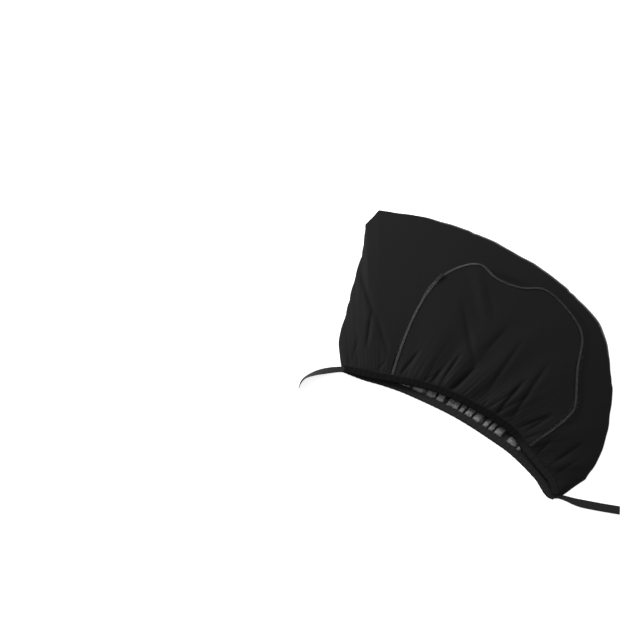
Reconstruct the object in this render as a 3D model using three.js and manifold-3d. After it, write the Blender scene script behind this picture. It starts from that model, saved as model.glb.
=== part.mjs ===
import * as THREE from 'three';
import { mergeVertices } from 'three/addons/utils/BufferGeometryUtils.js';
import Module from 'manifold-3d';

// Car side window sunshade: a double-layer sock that is pulled over the top of a rear door.
// It lies flat with its see-through mesh layer below and its gathered dark layer on top.
// Millimetres, +Z up, X along the mouth, Y towards the top of the window.

// Mouth and outline in plan, measured from the mouth's left corner
const mouthWidth = 560;
const crownHeight = 550;
const leftReach = 219;
const leftCornerHeight = 470;
const leftShoulderHeight = 408;
const rightReach = 32;
const rightCornerHeight = 80;
const seamAllowance = 1.5;
const meshShow = 3;

// Cloth
const meshThickness = 1.0;
const frontThickness = 1.2;
const clearance = 0.3;
const pillowHeight = 9;
const fanExponent = 1.7;

// Hems: a folded casing with a flat elastic inside
const casingWidth = 18;
const casingThickness = 3.6;
const elasticWidth = 14;
const elasticThickness = 1.0;
const casingSideWall = 1.6;
const casingFaceWall = 0.9;
const hemLift = 10;
const frontHemRise = 89;
const rearHemRise = 54;

// Gathers of the front layer and ruffles of the mesh layer
const gatherCount = 24;
const gatherHeight = 3.6;
const gatherReach = 55;
const foldCount = 8;
const foldHeight = 3.2;
const foldReach = 190;
const gatherStart = 12;
const creaseWidth = 5;
const creaseDepth = 4;
const ruffleCount = 26;
const ruffleHeight = 10;
const ruffleReach = 30;
const ruffleStart = 6;

// Zip
const tapeHalfWidth = 6;
const tapeThickness = 0.8;
const coilWidth = 2.6;
const coilHeight = 1.8;
const coilSeat = 0.8;
const openGap = 3;
const openLength = 95;
const openTaper = 35;
const zipFootInset = 106;
const sliderPlace = 336;
const sliderLength = 12;
const sliderWidth = 10.4;
const plateThickness = 1.1;
const sliderRunning = 0.5;
const sliderMargin = 3;
const bridgeLength = 8;
const bridgeLeg = 1.6;
const bridgeWidth = 2.2;
const bridgeHeight = 3.4;
const bridgeBar = 1.2;
const barHalf = 0.6;
const tabLength = 24;
const tabWidth = 6.4;
const tabThickness = 1.2;
const tabHoleRadius = 1.5;

// Straps
const strapWidth = 20;
const strapThickness = 1.6;
const strapTwist = THREE.MathUtils.degToRad(80);
const strapFolded = 0.1;
const strapOpened = 0.5;
const leftStrapReach = 100;
const rightStrapReach = 128;

// Mesh fineness
const frontRows = [0, 0.04, 0.1, 0.2, 0.34, 0.5, 0.68, 0.85, 1];
const rearRows = [0, 0.05, 0.12, 0.25, 0.55, 1];
const columnsPerGather = 4;
const columnsPerRuffle = 3;
const casingSteps = 44;
const zipStep = 20;
const strapSteps = 16;
const cutDepth = 40;

const wasm = await Module();
wasm.setup();

const cloth = { color: 0x222122, roughness: 0.78, metalness: 0 };
const zipCloth = { color: 0x2c2c2d, roughness: 0.7, metalness: 0 };
const nylon = { color: 0x3f3f40, roughness: 0.42, metalness: 0 };
const meshCloth = { color: 0x3a3a3b, roughness: 0.85, metalness: 0 };
const band = { color: 0x2a2a2a, roughness: 0.82, metalness: 0 };
const rubberThread = { color: 0x1c1c1c, roughness: 0.75, metalness: 0 };
const webbing = { color: 0x222021, roughness: 0.8, metalness: 0 };
const sliderPaint = { color: 0x1d1d1e, roughness: 0.35, metalness: 0.6 };

const point = (x, y) => new THREE.Vector2(x, y);

// The seam line of the front layer, from the left end of the mouth over the crown to the right end
function seamPath() {
  const right = mouthWidth + rightReach;
  return new THREE.Path()
    .moveTo(-0.0365 * leftReach, 0.017 * leftShoulderHeight)
    .splineThru([
      point(-0.274 * leftReach, 0.172 * leftShoulderHeight),
      point(-0.47 * leftReach, 0.41 * leftShoulderHeight),
      point(-0.685 * leftReach, 0.67 * leftShoulderHeight),
      point(-0.868 * leftReach, 0.89 * leftShoulderHeight),
      point(-leftReach, leftShoulderHeight),
    ])
    .lineTo(-leftReach, leftCornerHeight)
    .splineThru([
      point(-0.46 * leftReach, leftCornerHeight + 0.63 * (crownHeight - leftCornerHeight)),
      point(0.036 * mouthWidth, 0.991 * crownHeight),
      point(0.232 * mouthWidth, crownHeight),
      point(0.446 * mouthWidth, 0.978 * crownHeight),
      point(0.625 * mouthWidth, 0.924 * crownHeight),
      point(0.78 * mouthWidth, 0.833 * crownHeight),
      point(0.905 * mouthWidth, 0.664 * crownHeight),
      point(0.99 * mouthWidth, 0.5 * crownHeight),
      point(right - 0.156 * rightReach, 0.305 * crownHeight),
      point(right, rightCornerHeight),
    ])
    .splineThru([
      point(mouthWidth + 0.5 * rightReach, 0.4 * rightCornerHeight),
      point(mouthWidth + 0.22 * rightReach, 0.1125 * rightCornerHeight),
    ]);
}

// A hem's centre line: it rises from the mouth's corners and sags less on the left than on the right
function frontHemPath() {
  return new THREE.Path()
    .moveTo(0.0036 * mouthWidth, 0.034 * frontHemRise)
    .splineThru([
      point(0.115 * mouthWidth, 0.27 * frontHemRise),
      point(0.225 * mouthWidth, 0.55 * frontHemRise),
      point(0.35 * mouthWidth, 0.83 * frontHemRise),
      point(0.48 * mouthWidth, 0.97 * frontHemRise),
      point(0.62 * mouthWidth, frontHemRise),
      point(0.725 * mouthWidth, 0.93 * frontHemRise),
      point(0.813 * mouthWidth, 0.68 * frontHemRise),
      point(0.92 * mouthWidth, 0.41 * frontHemRise),
      point(0.96 * mouthWidth, 0.31 * frontHemRise),
      point(0.998 * mouthWidth, 0.067 * frontHemRise),
    ]);
}

// The rear hem's right end curls round to meet the front hem
function rearHemPath() {
  return new THREE.Path()
    .moveTo(0.007 * mouthWidth, 0.093 * rearHemRise)
    .splineThru([
      point(0.09 * mouthWidth, 0.26 * rearHemRise),
      point(0.18 * mouthWidth, 0.54 * rearHemRise),
      point(0.29 * mouthWidth, 0.78 * rearHemRise),
      point(0.5 * mouthWidth, rearHemRise),
      point(0.71 * mouthWidth, 0.91 * rearHemRise),
      point(0.8 * mouthWidth, 0.76 * rearHemRise),
      point(0.9 * mouthWidth, 0.44 * rearHemRise),
      point(0.939 * mouthWidth, 0.222 * rearHemRise),
      point(0.966 * mouthWidth, 0.055 * rearHemRise),
      point(0.984 * mouthWidth, 0.01 * rearHemRise),
      point(0.995 * mouthWidth, 0.04 * rearHemRise),
    ]);
}

// The zip's centre line, from its left foot in the front hem over the arch to its right foot
function zipPath() {
  return new THREE.Path()
    .moveTo(zipFootInset, 0.5 * frontHemRise)
    .splineThru([
      point(0.774 * zipFootInset, 0.204 * crownHeight),
      point(0.557 * zipFootInset, 0.345 * crownHeight),
      point(0.415 * zipFootInset, 0.469 * crownHeight),
      point(0.33 * zipFootInset, 0.585 * crownHeight),
      point(0.377 * zipFootInset, 0.687 * crownHeight),
      point(0.604 * zipFootInset, 0.789 * crownHeight),
      point(0.925 * zipFootInset, 0.838 * crownHeight),
      point(0.275 * mouthWidth, 0.811 * crownHeight),
      point(0.382 * mouthWidth, 0.829 * crownHeight),
      point(0.471 * mouthWidth, 0.887 * crownHeight),
      point(0.596 * mouthWidth, 0.851 * crownHeight),
      point(0.72 * mouthWidth, 0.76 * crownHeight),
      point(0.793 * mouthWidth, 0.578 * crownHeight),
      point(0.864 * mouthWidth, 0.425 * crownHeight),
      point(0.873 * mouthWidth, 0.356 * crownHeight),
      point(0.85 * mouthWidth, 0.247 * crownHeight),
      point(0.804 * mouthWidth, 0.6 * frontHemRise),
    ]);
}

const seam = seamPath();
const frontHem = frontHemPath();
const rearHem = rearHemPath();
const zipLine = zipPath();
const zipLength = zipLine.getLength();

// Left-hand normal of a path in plan
function sideways(path, place) {
  const tangent = path.getTangent(place);
  return point(-tangent.y, tangent.x);
}

function offsetPoint(path, place, distance) {
  return path.getPoint(place).addScaledVector(sideways(path, place), distance);
}

// Places of the seam's sharp corners, as shares of its length
function seamCorners() {
  const lengths = seam.getCurveLengths();
  const total = lengths[lengths.length - 1];
  return [lengths[0] / total, lengths[1] / total, lengths[2] / total];
}

const corners = seamCorners();

// Where a column of cloth that leaves the hem at a share of its length meets the seam
function seamPlace(along, columns) {
  const place = Math.pow(along, 1 / fanExponent);
  const spacing = Math.pow(along + 1 / columns, 1 / fanExponent) - place;
  const corner = corners.find((value) => Math.abs(value - place) <= 0.5 * spacing);
  return corner ?? place;
}

const swell = (along, power) => Math.pow(Math.sin(Math.PI * THREE.MathUtils.clamp(along, 0, 1)), power);

const frontHemBase = casingThickness + clearance + 0.5 * casingThickness;
const seamBase = meshThickness + clearance + 0.5 * frontThickness;

function frontHemHeight(along) {
  return frontHemBase + hemLift * swell(along, 0.7);
}

// Folds that stand out from the gathers: start and end in shares of the mouth's width and the
// crown's height, then half width and depth in shares of creaseWidth and creaseDepth
const creases = [
  [-0.268, 0.5, -0.045, 0.3, 1.6, 1.1],
  [-0.071, 0.316, 0.018, 0.149, 1.1, 1.25],
  [-0.039, 0.167, 0.005, 0.058, 1, 0.7],
  [-0.054, 0.324, 0.111, 0.175, 1.4, 0.7],
  [0.17, 0.8, 0.35, 0.578, 3, -1.1],
  [0.204, 0.811, 0.382, 0.593, 1.8, 0.6],
  [0.214, 0.6, 0.446, 0.324, 1.8, 0.7],
  [0.211, 0.822, 0.421, 0.855, 2.6, 1.05],
  [0.211, 0.255, 0.213, 0.095, 1, 1],
  [0.361, 0.345, 0.373, 0.153, 1, 1.05],
  [0.446, 0.324, 0.421, 0.156, 1, 1.1],
  [0.536, 0.564, 0.546, 0.255, 1.4, 0.65],
  [0.643, 0.389, 0.632, 0.171, 1.1, 1.25],
  [0.68, 0.527, 0.693, 0.178, 1.3, 0.9],
  [0.813, 0.313, 0.725, 0.164, 1.1, 1],
  [0.814, 0.309, 0.764, 0.167, 1, 0.85],
  [0.87, 0.2, 0.854, 0.109, 0.9, 0.85],
  [0.975, 0.273, 0.918, 0.095, 1.1, 1.1],
  [1, 0.204, 0.955, 0.076, 0.9, 0.8],
];

// Height that a fold adds over a spot of the plan: a sharp furrow between two low shoulders
function creaseLift([startX, startY, endX, endY, width, depth], spot) {
  const start = point(startX * mouthWidth, startY * crownHeight);
  const run = point(endX * mouthWidth, endY * crownHeight).sub(start);
  const way = spot.clone().sub(start);
  const share = THREE.MathUtils.clamp(way.dot(run) / run.lengthSq(), 0, 1);
  const gap = way.addScaledVector(run, -share).length() / (width * creaseWidth);
  const taper = Math.sqrt(Math.sin(Math.PI * THREE.MathUtils.clamp(share, 0.03, 0.97)));
  const profile = Math.exp(-Math.pow(gap, 1.5)) - 0.3 * Math.exp(-Math.pow(gap / 2.2, 2));
  return -depth * creaseDepth * taper * profile;
}

// A wave with round crests and sharp troughs, from -1 to 1
const gathered = (turns) => 2 * Math.pow(Math.abs(Math.cos(Math.PI * turns)), 0.8) - 1;

// Height of the front layer's middle over a spot of the plan, at a share along the hem, a share
// from hem to seam and that share's distance from the hem
function frontHeight(along, across, distance, spot) {
  const slope = (frontHemHeight(along) - seamBase) * Math.pow(1 - across, 1.2);
  const pillow = pillowHeight * swell(along, 0.5) * swell(across, 0.8);
  const wander = 0.35 * Math.sin(6 * Math.PI * along);
  const fullness = 0.55 + 0.35 * Math.sin(10 * Math.PI * along + 1.7) + 0.3 * Math.sin(43 * along + 0.6);
  const gather = gatherHeight * fullness * gathered(gatherCount * along + wander);
  const sway = 0.3 * Math.sin(4 * Math.PI * along + 1);
  const fold = foldHeight * Math.cos(2 * Math.PI * (foldCount * along + sway));
  const waves = gather * Math.exp(-distance / gatherReach) + fold * Math.exp(-distance / foldReach);
  const furrows = creases.reduce((sum, crease) => sum + creaseLift(crease, spot), 0);
  const fade = (1 - Math.exp(-distance / gatherStart)) * (1 - Math.pow(across, 3)) * swell(along, 0.5);
  return seamBase + slope + pillow + (waves + furrows) * fade;
}

// Height of the mesh layer's middle, flat apart from the ruffles beside its hem
function rearHeight(along, across, distance) {
  const turns = ruffleCount * along + 0.22 * Math.sin(14 * Math.PI * along);
  const wave = Math.pow(Math.abs(Math.sin(Math.PI * turns)), 0.6);
  const rise = 1 - Math.exp(-distance / ruffleStart);
  const fade = rise * Math.exp(-distance / ruffleReach) * swell(along, 0.5) * Math.pow(1 - across, 2);
  return 0.5 * meshThickness + ruffleHeight * wave * fade;
}

// Plan line of a column of the front layer, from the hem casing's edge to the seam
function frontColumn(along, place) {
  return {
    foot: offsetPoint(frontHem, along, 0.5 * casingWidth + clearance),
    head: seam.getPoint(place),
  };
}

// Height of the front layer over a point of the plan
function frontHeightAt(x, y) {
  const side = (along) => {
    const { foot, head } = frontColumn(along, Math.pow(along, 1 / fanExponent));
    return (head.x - foot.x) * (y - foot.y) - (head.y - foot.y) * (x - foot.x);
  };
  let low = 0;
  let high = 1;
  for (let pass = 0; pass < 30; pass += 1) {
    const middle = 0.5 * (low + high);
    if (side(middle) < 0) low = middle;
    else high = middle;
  }
  const { foot, head } = frontColumn(low, Math.pow(low, 1 / fanExponent));
  const run = head.clone().sub(foot);
  const across = THREE.MathUtils.clamp(run.dot(point(x, y).sub(foot)) / run.lengthSq(), 0, 1);
  return frontHeight(low, across, across * run.length(), point(x, y));
}

function indexedGeometry(positions, index) {
  const geometry = new THREE.BufferGeometry();
  geometry.setAttribute('position', new THREE.Float32BufferAttribute(positions.flatMap((p) => [p.x, p.y, p.z]), 3));
  geometry.setIndex(index);
  return geometry;
}

// A closed sheet from a grid of middle points, columns running in X and rows in Y
function sheetSolid(grid, thickness) {
  const columns = grid.length;
  const rows = grid[0].length;
  const lift = new THREE.Vector3(0, 0, 0.5 * thickness);
  const middle = grid.flat();
  const positions = [...middle.map((p) => p.clone().add(lift)), ...middle.map((p) => p.clone().sub(lift))];
  const top = (i, j) => i * rows + j;
  const bottom = (i, j) => middle.length + top(i, j);
  const index = [];
  const quad = (a, b, c, d) => index.push(a, b, c, a, c, d);
  for (let i = 0; i < columns - 1; i += 1) {
    for (let j = 0; j < rows - 1; j += 1) {
      quad(top(i, j), top(i + 1, j), top(i + 1, j + 1), top(i, j + 1));
      quad(bottom(i, j), bottom(i, j + 1), bottom(i + 1, j + 1), bottom(i + 1, j));
    }
    quad(bottom(i, 0), bottom(i + 1, 0), top(i + 1, 0), top(i, 0));
    quad(top(i, rows - 1), top(i + 1, rows - 1), bottom(i + 1, rows - 1), bottom(i, rows - 1));
  }
  for (let j = 0; j < rows - 1; j += 1) {
    quad(top(0, j), top(0, j + 1), bottom(0, j + 1), bottom(0, j));
    quad(bottom(columns - 1, j), bottom(columns - 1, j + 1), top(columns - 1, j + 1), top(columns - 1, j));
  }
  return indexedGeometry(positions, index);
}

// A closed bar from rings of points, each ring running counter-clockwise about the way of travel
function sweptSolid(rings) {
  const size = rings[0].length;
  const index = [];
  for (let k = 0; k < rings.length - 1; k += 1) {
    for (let i = 0; i < size; i += 1) {
      const next = (i + 1) % size;
      const a = k * size + i;
      const b = k * size + next;
      index.push(a, b, b + size, a, b + size, a + size);
    }
  }
  const last = (rings.length - 1) * size;
  for (let i = 1; i < size - 1; i += 1) {
    index.push(0, i + 1, i, last, last + i, last + i + 1);
  }
  return indexedGeometry(rings.flat(), index);
}

// A closed sleeve, open at both ends, from outer and inner rings
function sleeveSolid(outer, inner) {
  const size = outer[0].length;
  const shift = outer.length * size;
  const index = [];
  const quad = (a, b, c, d) => index.push(a, b, c, a, c, d);
  for (let i = 0; i < size; i += 1) {
    const next = (i + 1) % size;
    for (let k = 0; k < outer.length - 1; k += 1) {
      const a = k * size + i;
      const b = k * size + next;
      quad(a, b, b + size, a + size);
      quad(shift + a, shift + a + size, shift + b + size, shift + b);
    }
    const last = shift - size;
    quad(i, shift + i, shift + next, next);
    quad(last + i, last + next, shift + last + next, shift + last + i);
  }
  return indexedGeometry([...outer.flat(), ...inner.flat()], index);
}

// Ring of a flat rectangular section at a point of a path in plan
function flatRing(path, place, near, far, low, high) {
  const a = offsetPoint(path, place, near);
  const b = offsetPoint(path, place, far);
  return [
    new THREE.Vector3(a.x, a.y, low),
    new THREE.Vector3(b.x, b.y, low),
    new THREE.Vector3(b.x, b.y, high),
    new THREE.Vector3(a.x, a.y, high),
  ];
}

function toManifold(geometry) {
  const plain = geometry.clone();
  plain.deleteAttribute('normal');
  plain.deleteAttribute('uv');
  const merged = mergeVertices(plain, 1e-4);
  return new wasm.Manifold(new wasm.Mesh({
    numProp: 3,
    vertProperties: new Float32Array(merged.attributes.position.array),
    triVerts: new Uint32Array(merged.index.array),
  }));
}

function fromManifold(solid) {
  const mesh = solid.getMesh();
  const geometry = new THREE.BufferGeometry();
  geometry.setAttribute('position', new THREE.BufferAttribute(new Float32Array(mesh.vertProperties), 3));
  geometry.setIndex(new THREE.BufferAttribute(new Uint32Array(mesh.triVerts), 1));
  return geometry;
}

// A tall prism over an outline in plan, for cutting
function prism(outline) {
  const geometry = new THREE.ExtrudeGeometry(new THREE.Shape(outline), { depth: 2 * cutDepth, bevelEnabled: false });
  geometry.translate(0, 0, -cutDepth);
  return toManifold(geometry);
}

function piece(name, geometry, finish) {
  const mesh = new THREE.Mesh(geometry, new THREE.MeshStandardMaterial({ ...finish, flatShading: true }));
  mesh.name = name;
  return mesh;
}

const steps = (count) => Array.from({ length: count + 1 }, (_, i) => i / count);

// The gathered front layer before the zip arch is cut out of it
function frontSheet() {
  const columns = gatherCount * columnsPerGather;
  const grid = steps(columns).map((along) => {
    const { foot, head } = frontColumn(along, seamPlace(along, columns));
    const length = foot.distanceTo(head);
    return frontRows.map((across) => {
      const spot = foot.clone().lerp(head, across);
      return new THREE.Vector3(spot.x, spot.y, frontHeight(along, across, across * length, spot));
    });
  });
  return toManifold(sheetSolid(grid, frontThickness));
}

// Edge of the mesh layer: it shows past the front layer along the upper right
function meshEdge(place, extra) {
  const show = THREE.MathUtils.smoothstep(place, 0.45, 0.6) * (1 - THREE.MathUtils.smoothstep(place, 0.85, 0.95));
  return offsetPoint(seam, place, seamAllowance + meshShow * show + extra);
}

function meshSheet() {
  const columns = ruffleCount * columnsPerRuffle;
  const grid = steps(columns).map((along) => {
    const foot = offsetPoint(rearHem, along, 0.5 * casingWidth + clearance);
    const head = meshEdge(seamPlace(along, columns), 0);
    const length = foot.distanceTo(head);
    return rearRows.map((across) => {
      const spot = foot.clone().lerp(head, across);
      return new THREE.Vector3(spot.x, spot.y, rearHeight(along, across, across * length));
    });
  });
  return sheetSolid(grid, meshThickness);
}

// Stations along the zip, with one straight stretch where the slider sits
function zipStations() {
  const half = 0.5 * sliderLength + sliderMargin;
  const start = sliderPlace - half;
  const rest = zipLength - sliderPlace - half;
  const before = steps(Math.round(start / zipStep)).map((share) => share * start);
  const after = steps(Math.round(rest / zipStep)).map((share) => sliderPlace + half + share * rest);
  return [...before, ...after].map((distance) => distance / zipLength);
}

// Outline of the zip arch in plan, at a distance outside its centre line, closed below the hem
function archOutline(distance) {
  const arch = zipStations().map((station) => offsetPoint(zipLine, station, distance));
  const first = arch[0];
  const last = arch[arch.length - 1];
  return [point(first.x, -cutDepth), ...arch, point(last.x, -cutDepth)].reverse();
}

// Space between the two coils: closed beyond the slider, and parted for a short way before it
function coilGap(station) {
  const distance = station * zipLength;
  if (distance > sliderPlace) return clearance;
  const start = sliderPlace - openLength;
  const parted = THREE.MathUtils.smoothstep(distance, start, start + openTaper);
  return clearance + (openGap - clearance) * parted;
}

// Stations along a hem, closer together towards its right end, where it turns most
const hemPlaces = steps(casingSteps).map((share) => 1 - Math.pow(1 - share, 1.5));

// The band of a hem in plan with a clearance, which trims what ends at that hem
function hemCut(path) {
  const edge = (distance) => hemPlaces.map((along) => offsetPoint(path, along, distance));
  const reach = 0.5 * casingWidth + clearance;
  return prism([...edge(-2 * casingWidth), ...edge(reach).reverse()]);
}

// One ribbon of the zip, side 1 outside the arch and side -1 inside it,
// between two distances from the centre line
function zipRibbon(side, inner, outer, low, high) {
  const rings = zipStations().map((station) => {
    const spot = zipLine.getPoint(station);
    const base = frontHeightAt(spot.x, spot.y);
    const gap = 0.5 * coilGap(station);
    const near = side > 0 ? inner(gap) : -outer(gap);
    const far = side > 0 ? outer(gap) : -inner(gap);
    return flatRing(zipLine, station, near, far, base + low, base + high);
  });
  return fromManifold(toManifold(sweptSolid(rings)).subtract(hemCut(frontHem)));
}

const tapeLow = -0.5 * frontThickness;
const tapeHigh = tapeLow + tapeThickness;
const coilLow = tapeHigh + clearance;
const coilHigh = coilLow + coilHeight;
const plateLow = coilHigh + sliderRunning;
const plateHigh = plateLow + plateThickness;

function zipTape(side) {
  return zipRibbon(side, (gap) => gap + coilSeat, () => tapeHalfWidth, tapeLow, tapeHigh);
}

function zipCoil(side) {
  return zipRibbon(side, (gap) => gap, (gap) => gap + coilWidth, coilLow, coilHigh);
}

function block(low, high) {
  const size = new THREE.Vector3().subVectors(high, low);
  const geometry = new THREE.BoxGeometry(size.x, size.y, size.z);
  geometry.translate(low.x + 0.5 * size.x, low.y + 0.5 * size.y, low.z + 0.5 * size.z);
  return toManifold(geometry);
}

const corner = (x, y, z) => new THREE.Vector3(x, y, z);

// A plate of the slider: square at its tail and narrowed at its nose
function sliderPlate(low) {
  const half = 0.5 * sliderLength;
  const side = 0.5 * sliderWidth;
  const outline = [
    point(-half, -0.8 * side),
    point(-0.7 * half, -side),
    point(0.4 * half, -side),
    point(half, -0.7 * side),
    point(half, 0.7 * side),
    point(0.4 * half, side),
    point(-0.7 * half, side),
    point(-half, 0.8 * side),
  ];
  const geometry = new THREE.ExtrudeGeometry(new THREE.Shape(outline), { depth: plateThickness, bevelEnabled: false });
  geometry.translate(0, 0, low);
  return toManifold(geometry);
}

// Slider body in its own frame: X along the zip, Z out of the cloth. Two plates are joined by a
// post between the coils, flanges guide the coils and a bridge on top holds the pull tab.
function zipSlider() {
  const half = 0.5 * sliderLength;
  const side = 0.5 * sliderWidth;
  const flange = side - 0.5 * openGap - coilWidth - clearance;
  const flangeEnd = 0.4 * half;
  const postHalf = 0.2 * openGap;
  const bridgeHalf = 0.5 * bridgeLength;
  const legEnd = bridgeHalf - bridgeLeg;
  const width = 0.5 * bridgeWidth;
  const top = plateHigh + bridgeHeight;
  let solid = sliderPlate(plateLow);
  const parts = [
    sliderPlate(tapeLow - sliderRunning - plateThickness),
    block(corner(-0.9 * half, -postHalf, tapeLow - sliderRunning - 0.5), corner(-0.5 * half, postHalf, plateLow + 0.5)),
    block(corner(-bridgeHalf, -width, plateHigh - 0.5), corner(-legEnd, width, top)),
    block(corner(legEnd, -width, plateHigh - 0.5), corner(bridgeHalf, width, top)),
    block(corner(-bridgeHalf, -width, top - bridgeBar), corner(bridgeHalf, width, top)),
    block(corner(-0.7 * half, side - flange, tapeHigh + sliderRunning), corner(flangeEnd, side, plateLow + 0.5)),
    block(corner(-0.7 * half, -side, tapeHigh + sliderRunning), corner(flangeEnd, flange - side, plateLow + 0.5)),
  ];
  for (const part of parts) solid = solid.add(part);
  return fromManifold(solid);
}

// Height of the pull tab's bar above the middle of the cloth, in the slider's frame
const barHeight = plateHigh + 0.5 * (bridgeHeight - bridgeBar);

// Pull tab: a flat tongue whose eye loops round the slider's bridge, lying towards the left foot
function pullTab() {
  const side = 0.5 * tabWidth;
  const eyeHalf = 0.5 * bridgeWidth + clearance;
  const reach = Math.hypot(0.5 * bridgeLength, 0.5 * (bridgeHeight + bridgeBar));
  const eyeEnd = reach + clearance;
  const outline = new THREE.Shape()
    .moveTo(barHalf, -side)
    .lineTo(barHalf, side)
    .lineTo(side - tabLength, side)
    .absarc(side - tabLength, 0, side, 0.5 * Math.PI, 1.5 * Math.PI, false);
  const eye = new THREE.Path([
    point(-barHalf, -eyeHalf),
    point(-eyeEnd, -eyeHalf),
    point(-eyeEnd, eyeHalf),
    point(-barHalf, eyeHalf),
  ]);
  const grip = new THREE.Path().absarc(side - tabLength, 0, tabHoleRadius, 0, 2 * Math.PI, true);
  outline.holes.push(eye, grip);
  const options = { depth: tabThickness, bevelEnabled: false, curveSegments: 6 };
  const geometry = new THREE.ExtrudeGeometry(outline, options);
  geometry.translate(0, 0, barHeight - 0.5 * tabThickness);
  return fromManifold(toManifold(geometry));
}

// Carries the slider's frame to its place on the zip
function sliderMatrix() {
  const half = 0.5 * sliderLength + sliderMargin;
  const ends = [sliderPlace - half, sliderPlace + half].map((distance) => {
    const spot = zipLine.getPoint(distance / zipLength);
    return new THREE.Vector3(spot.x, spot.y, frontHeightAt(spot.x, spot.y));
  });
  const forward = ends[1].clone().sub(ends[0]).normalize();
  const left = new THREE.Vector3(-forward.y, forward.x, 0).normalize();
  const up = new THREE.Vector3().crossVectors(forward, left);
  const middle = ends[0].clone().add(ends[1]).multiplyScalar(0.5);
  return new THREE.Matrix4().makeBasis(forward, left, up).setPosition(middle);
}

function zipHardware() {
  const group = new THREE.Group();
  group.add(piece('zip_slider', zipSlider(), sliderPaint), piece('zip_pull_tab', pullTab(), sliderPaint));
  group.applyMatrix4(sliderMatrix());
  return group;
}

// A hem's casing and the elastic inside it; height gives the hem's middle height
function hemCasing(path, height) {
  const half = 0.5 * casingWidth;
  const rings = (edge, thickness) => hemPlaces.map((along) => {
    const middle = height(along);
    return flatRing(path, along, -edge, edge, middle - 0.5 * thickness, middle + 0.5 * thickness);
  });
  return sleeveSolid(
    rings(half, casingThickness),
    rings(half - casingSideWall, casingThickness - 2 * casingFaceWall),
  );
}

function hemElastic(path, height) {
  const rings = hemPlaces.map((along) => {
    const middle = height(along);
    const edge = 0.5 * elasticWidth;
    return flatRing(path, along, -edge, edge, middle - 0.5 * elasticThickness, middle + 0.5 * elasticThickness);
  });
  return sweptSolid(rings);
}

const rearHemHeight = () => 0.5 * casingThickness;

// Outline of the mesh layer and its hem in plan, with a clearance, which trims the straps
function silhouetteCut() {
  const side = steps(4 * casingSteps).map((place) => meshEdge(place, clearance));
  const reach = 0.5 * casingWidth + clearance;
  const mouth = hemPlaces.map((along) => offsetPoint(rearHem, along, -reach));
  return prism([...mouth, ...side.reverse()]);
}

// A strap lying along a path on the ground: folded double where it leaves the seam, then opened
// out, and rolling onto its edge towards its free end
function strap(path, roll) {
  const rings = steps(strapSteps).map((place) => {
    const opened = THREE.MathUtils.smoothstep(place, strapFolded, strapOpened);
    const width = strapWidth * (0.5 + 0.5 * opened);
    const thickness = strapThickness * (2 - opened);
    const turn = roll * place * place;
    const centre = path.getPoint(place);
    const across = sideways(path, place);
    const height = 0.5 * (width * Math.sin(turn) + thickness * Math.cos(turn));
    return [[-1, -1], [1, -1], [1, 1], [-1, 1]].map(([u, v]) => {
      const a = 0.5 * u * width;
      const b = 0.5 * v * thickness;
      const out = a * Math.cos(turn) - b * Math.sin(turn);
      const up = a * Math.sin(turn) + b * Math.cos(turn);
      return new THREE.Vector3(centre.x + out * across.x, centre.y + out * across.y, height + up);
    });
  });
  return fromManifold(toManifold(sweptSolid(rings)).subtract(silhouetteCut()));
}

function leftStrapPath() {
  const reach = leftStrapReach;
  return new THREE.Path()
    .moveTo(0.06 * reach, -0.01 * reach)
    .splineThru([
      point(-0.12 * reach, -0.1 * reach),
      point(-0.32 * reach, -0.26 * reach),
      point(-0.48 * reach, -0.5 * reach),
      point(-0.57 * reach, -0.76 * reach),
      point(-0.53 * reach, -reach),
    ]);
}

function rightStrapPath() {
  const reach = rightStrapReach;
  return new THREE.Path()
    .moveTo(mouthWidth - 0.03 * reach, 0.07 * reach)
    .splineThru([
      point(mouthWidth + 0.17 * reach, 0.1 * reach),
      point(mouthWidth + 0.375 * reach, 0.156 * reach),
      point(mouthWidth + 0.6875 * reach, 0.29 * reach),
      point(mouthWidth + reach, 0.4375 * reach),
    ]);
}

// The whole shade, with its origin under the middle of its box
function sunshade() {
  const front = frontSheet();
  const reach = tapeHalfWidth + clearance;
  const shade = new THREE.Group();
  shade.add(
    piece('rear_mesh_panel', meshSheet(), meshCloth),
    piece('front_surround_panel', fromManifold(front.subtract(prism(archOutline(reach)))), cloth),
    piece('front_flap_panel', fromManifold(front.intersect(prism(archOutline(-reach)))), cloth),
    piece('front_hem_casing', hemCasing(frontHem, frontHemHeight), band),
    piece('front_hem_elastic', hemElastic(frontHem, frontHemHeight), rubberThread),
    piece('rear_hem_casing', hemCasing(rearHem, rearHemHeight), band),
    piece('rear_hem_elastic', hemElastic(rearHem, rearHemHeight), rubberThread),
    piece('zip_tape_outer', zipTape(1), zipCloth),
    piece('zip_tape_inner', zipTape(-1), zipCloth),
    piece('zip_coil_outer', zipCoil(1), nylon),
    piece('zip_coil_inner', zipCoil(-1), nylon),
    zipHardware(),
    piece('strap_left', strap(leftStrapPath(), strapTwist), webbing),
    piece('strap_right', strap(rightStrapPath(), 0), webbing),
  );
  shade.updateMatrixWorld(true);
  const box = new THREE.Box3().setFromObject(shade, true);
  shade.position.set(-0.5 * (box.min.x + box.max.x), -0.5 * (box.min.y + box.max.y), -box.min.z);
  const group = new THREE.Group();
  group.add(shade);
  return group;
}

export default sunshade();
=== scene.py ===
"""Car side window sunshade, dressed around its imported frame.

The shade lies flat. Its dark front layer is gathered at the mouth and holds a zip arch, and a
see-through mesh layer lies under it. Plan sizes are millimetres from the mouth's left corner,
and every finished mesh is in metres in the frame's own axes.
"""

from __future__ import annotations

import logging
import math
from collections.abc import Callable, Sequence
from copy import copy
from dataclasses import dataclass, field
from enum import Enum
from functools import cached_property

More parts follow.
